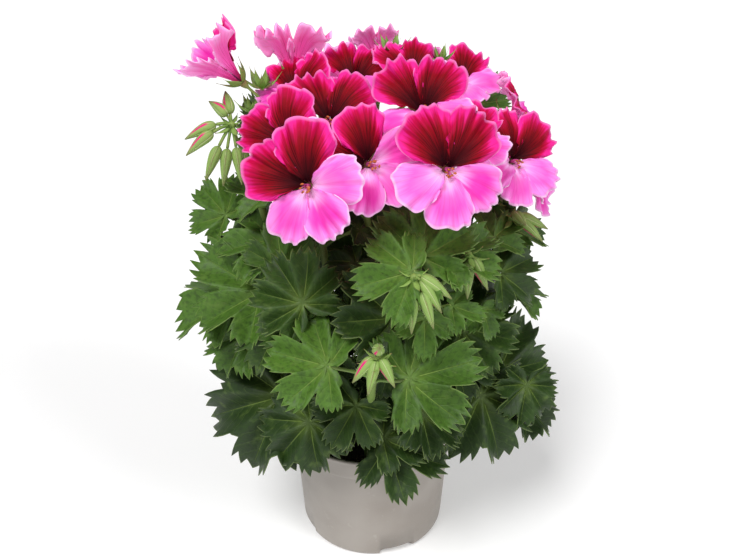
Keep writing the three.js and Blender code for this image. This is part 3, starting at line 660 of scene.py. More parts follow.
    def build(self, name: str, materials: list[bpy.types.Material]) -> bpy.types.Object:
        """Writes the mesh in metres and returns its object.

        Args:
            name: Name of the object and its mesh.
            materials: Its material slots in order.

        Returns:
            The object, at the origin.
        """
        mesh = bpy.data.meshes.new(name)
        points = np.vstack(self.points) * MM
        quads, tris = np.vstack(self.quads), np.vstack(self.tris)
        mesh.vertices.add(len(points))
        mesh.vertices.foreach_set("co", points.astype(np.float32).ravel())
        corners = np.concatenate((quads.ravel(), tris.ravel())).astype(np.int32)
        starts = np.concatenate(
            (np.arange(len(quads)) * 4, quads.size + np.arange(len(tris)) * 3)
        ).astype(np.int32)
        mesh.loops.add(len(corners))
        mesh.loops.foreach_set("vertex_index", corners)
        mesh.polygons.add(len(starts))
        mesh.polygons.foreach_set("loop_start", starts)
        slots = np.concatenate((*self.quad_slots, *self.tri_slots)).astype(np.int32)
        mesh.polygons.foreach_set("material_index", slots)
        mesh.polygons.foreach_set("use_smooth", np.ones(len(starts), bool))
        for key in sorted({key for _, spread in self.values for key in spread}):
            row = np.zeros(len(points), np.float32)
            for start, spread in self.values:
                if key in spread:
                    row[start : start + len(spread[key])] = spread[key]
            mesh.attributes.new(key, "FLOAT", "POINT").data.foreach_set("value", row)
        mesh.update(calc_edges=True)
        mesh.validate()
        for material in materials:
            mesh.materials.append(material)
        piece = bpy.data.objects.new(name, mesh)
        bpy.context.scene.collection.objects.link(piece)
        return piece


def thicken(piece: bpy.types.Object, thickness: float) -> None:
    """Gives an open sheet a wall, whose back has the material in the next slot.

    Args:
        piece: The sheet.
        thickness: Thickness in millimetres, half on each side.
    """
    wall = piece.modifiers.new("wall", "SOLIDIFY")
    wall.thickness = thickness * MM
    wall.offset = 0.0
    wall.material_offset = 1


def hand_over(piece: bpy.types.Object, slot: str, *nodes: str) -> None:
    """Makes a finished piece ride on the part's one body and stand for its solids.

    Args:
        piece: The piece.
        slot: A material slot's name; not used.
        *nodes: The solids that it stands for.
    """
    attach(piece, "root")
    if nodes:
        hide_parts(*nodes)
    LOG.info("%s: %d faces, stands for %s", piece.name, len(piece.data.polygons), nodes)


class Value:
    """A shader value whose arithmetic adds Math nodes."""

    def __init__(self, shader: Shader, socket: Any) -> None:
        """Wraps a node's output.

        Args:
            shader: The shader that the node belongs to.
            socket: The output.
        """
        self.shader = shader
        self.socket = socket

    def _math(self, operation: str, first: Any, second: Any = 0.0) -> Value:
        """Result of a Math node on two values."""
        return self.shader.value("ShaderNodeMath", {"operation": operation}, {0: first, 1: second})

    def __add__(self, other: Any) -> Value:
        """Sum."""
        return self._math("ADD", self, other)

    def __radd__(self, other: Any) -> Value:
        """Sum."""
        return self._math("ADD", other, self)

    def __sub__(self, other: Any) -> Value:
        """Difference."""
        return self._math("SUBTRACT", self, other)

    def __rsub__(self, other: Any) -> Value:
        """Difference from a number."""
        return self._math("SUBTRACT", other, self)

    def __mul__(self, other: Any) -> Value:
        """Product."""
        return self._math("MULTIPLY", self, other)

    def __rmul__(self, other: Any) -> Value:
        """Product."""
        return self._math("MULTIPLY", other, self)

    def __abs__(self) -> Value:
        """Size without sign."""
        return self._math("ABSOLUTE", self)

    def pingpong(self, scale: float) -> Value:
        """Folds the value to and fro between 0 and scale."""
        return self._math("PINGPONG", self, scale)

    def ease(self, low: float, high: float) -> Value:
        """Eases from 0 at low to 1 at high."""
        inputs = {"Value": self, "From Min": low, "From Max": high}
        return self.shader.value("ShaderNodeMapRange", {"interpolation_type": "SMOOTHSTEP"}, inputs)


class Shader:
    """A material's node graph, built from expressions."""

    def __init__(self, name: str) -> None:
        """Starts an empty node graph.

        Args:
            name: The material's name.
        """
        self.material = bpy.data.materials.new(name)
        self.material.use_nodes = True
        self.tree = self.material.node_tree
        self.tree.nodes.clear()

    def node(self, kind: str, settings: dict[str, Any], inputs: dict[Any, Any]) -> Any:
        """Adds a node.

        Args:
            kind: The node's type.
            settings: Its settings, which are set first; "stops" are a ramp's.
            inputs: Values or links of its sockets.

        Returns:
            The node.
        """
        node = self.tree.nodes.new(kind)
        for key, setting in settings.items():
            if key == "stops":
                ramp = node.color_ramp
                while len(ramp.elements) < len(setting):
                    ramp.elements.new(1.0)
                for element, (place, colour) in zip(ramp.elements, setting):
                    element.position = place
                    element.color = (*colour, 1.0)
            else:
                setattr(node, key, setting)
        for key, given in inputs.items():
            socket = node.inputs[key]
            if isinstance(given, Value):
                self.tree.links.new(given.socket, socket)
            elif isinstance(given, tuple) and socket.type == "RGBA":
                socket.default_value = (*given, 1.0)
            else:
                socket.default_value = given
        return node

    def value(
        self, kind: str, settings: dict[str, Any], inputs: dict[Any, Any], output: int | str = 0
    ) -> Value:
        """Adds a node and takes one of its outputs.

        Args:
            kind: The node's type.
            settings: Its settings.
            inputs: Values or links of its sockets.
            output: Which output.

        Returns:
            The output as a value.
        """
        return Value(self, self.node(kind, settings, inputs).outputs[output])

    def read(self, name: str) -> Value:
        """A value that the mesh carries."""
        return self.value("ShaderNodeAttribute", {"attribute_name": name}, {}, "Fac")

    def here(self) -> Value:
        """The place on the object."""
        return self.value("ShaderNodeTexCoord", {}, {}, "Object")

    def vector(self, x: Any, y: Any, z: Any) -> Value:
        """A vector from three values."""
        return self.value("ShaderNodeCombineXYZ", {}, {0: x, 1: y, 2: z})

    def noise(self, place: Value, scale: float, detail: float = 2.0) -> Value:
        """Smooth noise around 0.5 at a place, of so many waves a metre."""
        inputs = {"Vector": place, "Scale": scale, "Detail": detail}
        return self.value("ShaderNodeTexNoise", {}, inputs, "Fac")

    def mix(self, low: Any, high: Any, share: Any) -> Value:
        """A colour between two colours."""
        return self.value("ShaderNodeMix", {"data_type": "RGBA"}, {0: share, 6: low, 7: high}, 2)

    def ramp(self, share: Value, stops: tuple[tuple[float, Colour], ...]) -> Value:
        """A colour from a ramp of stops."""
        return self.value("ShaderNodeValToRGB", {"stops": stops}, {0: share})

    def bump(self, height: Value, distance: float) -> Value:
        """A normal from a height, whose full size stands for a distance in millimetres."""
        inputs = {"Height": height, "Distance": distance * MM}
        return self.value("ShaderNodeBump", {}, inputs)

    def finish(self, **inputs: Any) -> bpy.types.Material:
        """Ends the graph in a Principled shader.

        Args:
            **inputs: Its sockets, with underscores for spaces.

        Returns:
            The material.
        """
        named = {key.replace("_", " "): given for key, given in inputs.items()}
        surface = self.value("ShaderNodeBsdfPrincipled", {}, named)
        self.node("ShaderNodeOutputMaterial", {}, {"Surface": surface})
        return self.material


# In the finishes below a scale is a noise's waves in a metre, a share says how strongly a colour
# is mixed in, and a relief is a bump's full height in millimetres.


@dataclass(frozen=True)
class LeafFinish:
    """Leaf blades: pleated green with pale veins that run into the teeth."""

    old: Colour = tint(34, 58, 12)
    young: Colour = tint(76, 113, 34)
    vein: Colour = tint(134, 160, 74)
    # Painted shade: a near-black green that is laid into the dips of the mottle's bump.
    painted_hollow_shade: Colour = tint(18, 36, 12)
    # Painted sheen: a paler green laid in noise patches as soft highlights.
    light: Colour = tint(120, 146, 70)
    margin: Colour = tint(150, 172, 92)
    broad_scale: float = 60.0
    painted_sheen_scale: float = 130.0
    sway_scale: float = 220.0
    mottle_scale: float = 420.0
    web_scale: float = 1500.0
    hollow_shade_share: float = 0.5
    painted_sheen_share: float = 0.35
    branch_share: float = 0.1
    centre_share: float = 0.3
    margin_share: float = 0.3
    relief: float = 0.4

    def material(self) -> bpy.types.Material:
        """Builds the material: youth, with painted light on the upper left and the top, sets the
        green, lateral and phase draw the veins, and noise adds painted shade and painted sheen.

        Returns:
            The material.
        """
        s = Shader("leaf_front")
        here, age = s.here(), s.read("age")
        lateral, phase, edge = s.read("lateral"), s.read("phase"), s.read("edge")
        broad = s.noise(here, self.broad_scale)
        mottle = s.noise(here, self.mottle_scale, 4.0)
        rib = 1 - (lateral + edge * 0.35).ease(0.2, 0.75)
        sway = (s.noise(here, self.sway_scale) - 0.5) * 0.5
        branch = (1 - (phase + sway).pingpong(0.5).ease(0.01, 0.09)) * (1 - edge * 0.6)
        web = s.noise(here, self.web_scale, 1.0)
        patch = s.noise(here, self.painted_sheen_scale, 3.0).ease(0.55, 0.8)
        # The green reads how young a leaf is, and also painted light: leaves on the upper left and
        # higher up are made paler as if lit.
        green = s.mix(self.old, self.young, (age + (broad - 0.5) * 0.6).ease(0.05, 0.95))
        # Painted shade: the green darkens where the mottle's bump dips.
        green = s.mix(green, self.painted_hollow_shade, (1 - mottle).ease(0.4, 0.75) * self.hollow_shade_share)
        # Painted sheen: a paler green in noise patches, standing in for soft highlights.
        green = s.mix(green, self.light, patch * self.painted_sheen_share)
        green = s.mix(green, self.vein, branch * self.branch_share)
        green = s.mix(green, self.vein, (1 - edge.ease(0.0, 0.5)) * self.centre_share)
        green = s.mix(green, self.vein, rib * (0.8 - edge * 0.65))
        green = s.mix(green, self.margin, edge.ease(0.98, 1.0) * self.margin_share)
        height = (rib + branch * 0.6) * -0.6 + web * 0.22 + mottle * 0.3
        return s.finish(
            Base_Color=green,
            Roughness=0.44 + mottle * 0.2,
            Normal=s.bump(height, self.relief),
            Specular_IOR_Level=0.36,
        )


@dataclass(frozen=True)
class LeafBackFinish:
    """Undersides of leaves: duller and paler, with veins that stand out."""

    green: Colour = tint(78, 102, 58)
    vein: Colour = tint(124, 146, 88)
    fuzz_scale: float = 900.0
    vein_share: float = 0.6
    relief: float = 0.35

    def material(self) -> bpy.types.Material:
        """Builds the material.

        Returns:
            The material.
        """
        s = Shader("leaf_back")
        lateral, phase = s.read("lateral"), s.read("phase")
        veins = (1 - lateral.ease(0.3, 1.0)) + (1 - phase.pingpong(0.5).ease(0.04, 0.16)) * 0.5
        fuzz = s.noise(s.here(), self.fuzz_scale, 3.0)
        return s.finish(
            Base_Color=s.mix(self.green, self.vein, veins * self.vein_share),
            Roughness=0.62 + fuzz * 0.2,
            Normal=s.bump(veins + fuzz * 0.5, self.relief),
        )


@dataclass(frozen=True)
class StalkFinish:
    """Stems, petioles, pedicels and sepals: downy green, flushed towards their tips."""

    name: str
    green: Colour
    flush: Colour
    start: float
    amount: float
    shade: Colour = tint(40, 60, 28)
    patch_scale: float = 160.0
    fuzz_scale: float = 1400.0
    shade_share: float = 0.3
    relief: float = 0.15

    def material(self) -> bpy.types.Material:
        """Builds the material: the flush grows along the piece from its start.

        Returns:
            The material.
        """
        s = Shader(self.name)
        along = s.read("along")
        here = s.here()
        patch = s.noise(here, self.patch_scale)
        fuzz = s.noise(here, self.fuzz_scale, 3.0)
        flushed = (along + (patch - 0.5) * 0.4).ease(self.start, 1.0) * self.amount
        colour = s.mix(self.green, self.flush, flushed)
        colour = s.mix(colour, self.shade, (1 - fuzz).ease(0.5, 0.8) * self.shade_share)
        return s.finish(
            Base_Color=colour, Roughness=0.5 + fuzz * 0.2, Normal=s.bump(fuzz, self.relief)
        )


@dataclass(frozen=True)
class PlainFinish:
    """A small part of one colour with a fine grain, such as hairs and anthers."""

    name: str
    colour: Colour
    shade: Colour
    roughness: float = 0.6
    grain_scale: float = 700.0
    relief: float = 0.1

    def material(self) -> bpy.types.Material:
        """Builds the material.

        Returns:
            The material.
        """
        s = Shader(self.name)
        grain = s.noise(s.here(), self.grain_scale, 3.0)
        return s.finish(
            Base_Color=s.mix(self.shade, self.colour, grain.ease(0.3, 0.6)),
            Roughness=self.roughness,
            Normal=s.bump(grain, self.relief),
        )


@dataclass(frozen=True)
class PetalFinish:
    """Petals: colours from the throat to the edge, broken up by radiating streaks.

    The streaks' reach is the stretch of the way out in which the bold ones end, and the wobble
    is how far streaks shift the colours along that way.
    """

    name: str
    stops: tuple[tuple[float, Colour], ...]
    streak: Colour
    streak_reach: tuple[float, float]
    patch: Colour
    patch_share: float
    edge: Colour
    wobble: float
    # Emission of the petal's own colour: painted light, a glow that stands in for light shining
    # through the petal.
    glow: float = 0.0
    patch_place: float = 0.72
    streak_share: float = 0.75
    line_share: float = 0.16
    edge_share: float = 0.75
    velvet_scale: float = 1300.0
    relief: float = 0.2

    def material(self) -> bpy.types.Material:
        """Builds the material: the ramp reads the way to the edge, shifted by streaks.

        Returns:
            The material.
        """
        s = Shader(self.name)
        out, across, tone = s.read("edge"), s.read("across"), s.read("tone")
        fine = s.noise(s.vector(across * 9.0 + tone * 31.0, out * 0.9, tone * 17.0), 1.6, 3.0)
        bold = s.noise(s.vector(across * 2.2 + tone * 13.0, out * 0.7, tone * 5.0), 1.5, 1.0)
        lines = s.noise(s.vector(across * 17.0 + tone * 7.0, out * 1.1, tone), 1.5, 3.0)
        way = out + ((fine - 0.5) * 0.9 + (bold - 0.5) * 0.9) * self.wobble
        way = way + across * across * 0.2
        colour = s.ramp(way, self.stops)
        off = abs(out + (bold - 0.5) * 0.3 - self.patch_place)
        patch = (1 - off.ease(0.05, 0.3)) * (1 - abs(across).ease(0.35, 1.0))
        colour = s.mix(colour, self.patch, patch * (tone + 0.4) * self.patch_share)
        mask = lines.ease(0.5, 0.6) * (1 - out.ease(*self.streak_reach))
        colour = s.mix(colour, self.streak, mask * self.streak_share)
        colour = s.mix(colour, self.streak, lines.ease(0.52, 0.66) * self.line_share)
        colour = s.mix(colour, self.edge, out.ease(0.962, 0.995) * self.edge_share)
        velvet = s.noise(s.here(), self.velvet_scale, 2.0)
        return s.finish(
            Base_Color=colour,
            Roughness=0.55 + velvet * 0.2,
            Normal=s.bump(lines * 0.6 + velvet * 0.3, self.relief),
            Specular_IOR_Level=0.1,
            # Painted light: the petal gives off its own colour as a glow.
            Emission_Color=colour,
            Emission_Strength=self.glow,
        )


@dataclass(frozen=True)
class BudFinish:
    """Buds: five green sepals with pale seams, and a slit where the pink petals show."""

    green: Colour = tint(134, 164, 82)
    seam: Colour = tint(200, 212, 152)
    petal: Colour = tint(226, 40, 122)
    flush: Colour = tint(120, 84, 70)
    sepals: int = 5
    slit_place: float = 0.4
    fuzz_scale: float = 1400.0
    seam_share: float = 0.6
    flush_share: float = 0.5
    relief: float = 0.3

    def material(self) -> bpy.types.Material:
        """Builds the material: seams between the sepals, and a slit that shows the petals.

        Returns:
            The material.
        """
        s = Shader("bud")
        along, around = s.read("along"), s.read("around")
        fuzz = s.noise(s.here(), self.fuzz_scale, 3.0)
        seam = 1 - (around * self.sepals).pingpong(0.5).ease(0.02, 0.14)
        body = along.ease(0.2, 0.4) * (1 - along.ease(0.7, 0.9))
        slit = (1 - abs(around - self.slit_place).ease(0.025, 0.05)) * body
        colour = s.mix(self.green, self.seam, seam * self.seam_share)
        colour = s.mix(colour, self.flush, along.ease(0.75, 1.0) * self.flush_share)
        colour = s.mix(colour, self.petal, slit)
        return s.finish(
            Base_Color=colour, Roughness=0.5 + fuzz * 0.2,
            Normal=s.bump(fuzz * 0.4 - seam, self.relief),
        )


@dataclass(frozen=True)
class PotFinish:
    """Satin taupe moulded plastic."""

    colour: Colour = tint(158, 151, 144)
    shade: Colour = tint(142, 134, 126)
    scuffed: Colour = tint(176, 170, 162)
    broad_scale: float = 18.0
    scuff_scale: float = 240.0
    grain_scale: float = 1600.0
    scuff_share: float = 0.3
    relief: float = 0.06

    def material(self) -> bpy.types.Material:
        """Builds the material: a faint mottle, pale scuffs and a fine moulded grain.

        Returns:
            The material.
        """
        s = Shader("pot_plastic")
        here = s.here()
        broad = s.noise(here, self.broad_scale, 3.0)
        grain = s.noise(here, self.grain_scale, 2.0)
        scuff = s.noise(here, self.scuff_scale, 5.0)
        colour = s.mix(self.colour, self.shade, broad.ease(0.35, 0.7))
        colour = s.mix(colour, self.scuffed, scuff.ease(0.62, 0.75) * self.scuff_share)
        return s.finish(
            Base_Color=colour,
            Roughness=0.38 + scuff * 0.18,
            Normal=s.bump(grain + scuff * 0.4, self.relief),
        )


@dataclass(frozen=True)
class SoilFinish:
    """Moist dark potting soil with brown fibres and pale grains."""

    dark: Colour = tint(28, 22, 17)
    brown: Colour = tint(74, 54, 38)
    grain: Colour = tint(150, 132, 106)
    lump_scale: float = 130.0
    fine_scale: float = 620.0
    speck_scale: float = 420.0
    brown_share: float = 0.8
    grain_share: float = 0.7
    relief: float = 1.2

    def material(self) -> bpy.types.Material:
        """Builds the material.

        Returns:
            The material.
        """
        s = Shader("potting_soil")
        here = s.here()
        lump, fine = s.noise(here, self.lump_scale, 6.0), s.noise(here, self.fine_scale, 5.0)
        speck = s.noise(here, self.speck_scale, 1.0)
        colour = s.mix(self.dark, self.brown, lump.ease(0.42, 0.72) * self.brown_share)
        colour = s.mix(colour, self.grain, speck.ease(0.72, 0.78) * self.grain_share)
        return s.finish(Base_Color=colour, Roughness=0.95, Normal=s.bump(lump + fine, self.relief))


@dataclass(frozen=True)
class FloorFinish:
    """The studio's pale floor."""

    colour: Colour = (0.84, 0.84, 0.84)
    glow: float = 0.22

    def material(self) -> bpy.types.Material:
        """Builds the material, which glows a little and so lights the undersides.

        Returns:
            The material.
        """
        return Shader("floor").finish(
            Base_Color=self.colour, Roughness=0.8, Emission_Color=self.colour,
            Emission_Strength=self.glow,
        )


@dataclass
class Palette:
    """The materials that the plant's pieces share, each made from its finish."""

    leaf: bpy.types.Material = field(default_factory=LeafFinish().material)
    back: bpy.types.Material = field(default_factory=LeafBackFinish().material)
    stalk: bpy.types.Material = field(
        default_factory=StalkFinish(
            "green_stalk", green=tint(112, 146, 64), flush=tint(144, 158, 84), start=0.3, amount=0.5
        ).material
    )
    sepal: bpy.types.Material = field(
        default_factory=StalkFinish(
            "sepal", green=tint(132, 164, 78), flush=tint(150, 94, 74), start=0.75, amount=0.6
        ).material
    )
    bud: bpy.types.Material = field(default_factory=BudFinish().material)
    hair: bpy.types.Material = field(
        default_factory=PlainFinish("hair", tint(206, 214, 176), tint(170, 184, 130)).material
    )
    upper: bpy.types.Material = field(
        default_factory=PetalFinish(
            "upper_petal",
            stops=(
                (0.0, tint(150, 60, 110)),
                (0.08, tint(62, 3, 14)),
                (0.3, tint(48, 2, 9)),
                (0.6, tint(80, 2, 13)),
                (0.8, tint(138, 2, 24)),
                (0.92, tint(196, 6, 74)),
                (1.0, tint(238, 40, 148)),
            ),
            streak=tint(26, 1, 4), streak_reach=(0.6, 0.98), patch=tint(150, 3, 22),
            patch_share=0.2, edge=tint(254, 140, 208), wobble=0.26,
        ).material
    )
    lower: bpy.types.Material = field(
        default_factory=PetalFinish(
            "lower_petal",
            stops=(
                (0.0, tint(190, 130, 170)),
                (0.1, tint(250, 208, 240)),
                (0.36, tint(252, 194, 243)),
                (0.62, tint(251, 158, 234)),
                (0.84, tint(247, 116, 214)),
                (0.97, tint(250, 144, 226)),
            ),
            streak=tint(150, 16, 90), streak_reach=(0.16, 0.52), patch=tint(236, 40, 172),
            patch_share=0.7, edge=tint(255, 214, 246), wobble=0.26,
        ).material
    )
    outside: bpy.types.Material = field(
        default_factory=PetalFinish(
            "petal_back",
            stops=(
                (0.0, tint(196, 120, 120)),
                (0.12, tint(206, 40, 110)),
                (0.4, tint(238, 72, 164)),
                (0.7, tint(252, 122, 208)),
                (0.97, tint(255, 166, 228)),
            ),
            streak=tint(164, 10, 70), streak_reach=(0.4, 0.9), patch=tint(236, 50, 150),
            # The backs glow a little: painted light that stands in for light shining through thin
            # petals.
            patch_share=0.4, edge=tint(255, 196, 238), wobble=0.3, glow=0.16,
        ).material
    )
    filament: bpy.types.Material = field(
        default_factory=PlainFinish("filament", tint(226, 96, 170), tint(196, 60, 130)).material
    )
    anther: bpy.types.Material = field(
        default_factory=PlainFinish("anther", tint(196, 104, 44), tint(140, 64, 30)).material
    )


@dataclass
class Pot:
    """The nursery pot: a thin tapered shell with an overhanging collar and drain notches.

    The notches' azimuth is the first one's. Each is a flat at its floor's distance from the
    middle, with a wall behind it and a roof over it. The profile is pairs of radius and height,
    up the outside and down the inside.
    """

    segments: int = 192
    notches: int = 4
    notch_azimuth: float = 20.5
    notch_width: float = 22.0
    notch_height: float = 6.0
    notch_floor: float = 42.0
    notch_wall: float = 0.8
    notch_roof: float = 0.96
    profile: ClassVar[tuple[tuple[float, float], ...]] = (
        (0, 0), (20, 0), (40, 0), (43.6, 0), (44.9, 0.15), (46.3, 0.6), (47.2, 1.5), (47.75, 2.6),
        (48.05, 3.6), (48.3, 5.9), (48.35, 6.1), (49.4, 24), (50.6, 44), (51.7, 62),
        (52.35, 72.6), (52.7, 73.7), (53.4, 74.0), (56.4, 74.05), (57.0, 74.25), (57.35, 74.9),
        (57.6, 77), (58.4, 82), (59.1, 86.4), (59.5, 87.7), (59.95, 88.3), (60.0, 89.0),
        (59.75, 89.7), (59.2, POT_HEIGHT), (58.5, 89.85), (57.9, 89.3), (57.6, 88.0), (56.9, 82),
        (56.0, 76), (51.5, 75.4), (50.8, 64), (49.4, 40), (46.8, 7.5), (46.7, 6.9), (45.0, 2.4),
        (43.8, 2.0), (0, 2.0),
    )

    def build(self) -> None:
        """Builds the shell.

        The profile is turned about the middle. Where it is low enough and within a notch's width,
        its radius is at most the notch's floor over the cosine of the angle off the notch.
        """
        radius, height = np.array(self.profile).T
        angle = np.linspace(0, 2 * np.pi, self.segments, endpoint=False)
        step = 2 * np.pi / self.notches
        off = (angle - math.radians(self.notch_azimuth) + step / 2) % step - step / 2
        limit = self.notch_floor / np.cos(off)
        notched = limit * np.abs(np.sin(off)) < self.notch_width / 2
        inner = np.arange(len(height)) > height.argmax()
        low = height < self.notch_height + self.notch_roof * inner
        limit = limit - self.notch_wall * inner[:, None]
        spread = np.where(
            low[:, None] & notched, np.minimum(limit, radius[:, None]), radius[:, None]
        )
        level = np.broadcast_to(height[:, None], spread.shape)
        points = np.stack((spread * np.cos(angle), spread * np.sin(angle), level), -1)
        skin = Skin()
        skin.grid(points[1:-1, ::-1], ring=True, poles=(True, True))
        hand_over(skin.build("pot_shell", [PotFinish().material()]), "pot", "pot")


@dataclass
class Soil:
    """Mounded potting soil with loose crumbs on it and a few on the rim.

    The body is radius and height of the corners under the surface, from the edge down.
    """

    rows: int = 62
    columns: int = 180
    middle: float = 0.6
    edge: float = 56.1
    crumbs: int = 900
    mound_radius: float = 56.0
    crumb_reach: float = 55.0
    rim_crumbs: int = 26
    rim_ring: tuple[float, float] = (58.3, 59.3)
    rim_size: tuple[float, float] = (0.3, 0.8)
    flatness: float = 0.7
    seed: int = 61
    body: ClassVar[tuple[tuple[float, float], ...]] = (
        (56.1, 75.8), (51.2, 75.8), (46.5, 20), (40.8, 9), (40.8, 2.4),
    )

    def height(self, x: Array, y: Array) -> Array:
        """Height of the surface: a cosine mound, with lumps as sums of sines at three scales.

        Args:
            x: Distances to the right.
            y: Distances to the back.

        Returns:
            The heights.
        """
        r = np.hypot(x, y)
        mound = SOIL_EDGE + SOIL_MOUND * np.cos(np.clip(r / self.mound_radius, 0, 1) * np.pi / 2)
        lumps = (
            0.7 * np.sin(0.9 * x + 1.3 * y) * np.cos(1.1 * y - 0.6 * x)
            + 0.5 * np.sin(2.3 * x - 0.8 * y + 1.7) * np.cos(1.9 * y + 1.1 * x)
            + 0.28 * np.sin(5.1 * x + 2.2 * y) * np.cos(4.6 * y - 2.9 * x + 0.6)
        )
        return mound + lumps

    def build(self) -> None:
        """Builds the surface, the hidden body under it and the crumbs."""
        skin = Skin()
        body_radius, body_height = np.array(self.body).T
        radius = np.concatenate((np.linspace(self.middle, self.edge, self.rows), body_radius))
        angle = np.linspace(0, 2 * np.pi, self.columns, endpoint=False)
        x, y = np.outer(radius, np.cos(angle)), np.outer(radius, np.sin(angle))
        z = self.height(x, y)
        z[self.rows :] = body_height[:, None]
        skin.grid(np.stack((x, y, z), -1), ring=True, poles=(True, True))
        self.scatter(skin)
        piece = skin.build("potting_soil", [SoilFinish().material()])
        hand_over(piece, "soil", "soil")

    def scatter(self, skin: Skin) -> None:
        """Adds crumbs: eight-sided lumps, stretched, turned and partly sunk.

        Args:
            skin: The mesh to add to.
        """
        draw = np.random.default_rng(self.seed)
        count = self.crumbs + self.rim_crumbs
        r = self.crumb_reach * np.sqrt(draw.uniform(0, 1, count))
        r[self.crumbs :] = draw.uniform(*self.rim_ring, self.rim_crumbs)
        a = draw.uniform(0, 2 * np.pi, count)
        size = draw.gamma(3.0, 0.33, count) + 0.35
        size[self.crumbs :] = draw.uniform(*self.rim_size, self.rim_crumbs)
        x, y = r * np.cos(a), r * np.sin(a)
        z = self.height(x, y) + 0.2 * size
        z[self.crumbs :] = POT_HEIGHT - 0.1
        lump = np.array(
            ((1, 0, 0), (-1, 0, 0), (0, 1, 0), (0, -1, 0), (0, 0, 1), (0, 0, -1)), float
        )
        faces = np.array(
            ((0, 2, 4), (2, 1, 4), (1, 3, 4), (3, 0, 4), (2, 0, 5), (1, 2, 5), (3, 1, 5), (0, 3, 5))
        )
        stretch = draw.uniform(0.6, 1.4, (count, 6, 1)) * size[:, None, None]
        spin, _ = np.linalg.qr(draw.normal(size=(count, 3, 3)))
        spin *= np.sign(np.linalg.det(spin))[:, None, None]
        lumps = np.einsum("ckj,cij->cki", lump * stretch, spin)
        lumps[..., 2] *= self.flatness
        points = lumps + np.stack((x, y, z), -1)[:, None]
        tris = (np.arange(count)[:, None, None] * 6 + faces).reshape(-1, 3)
        skin.add(points.reshape(-1, 3), NO_QUADS, tris)


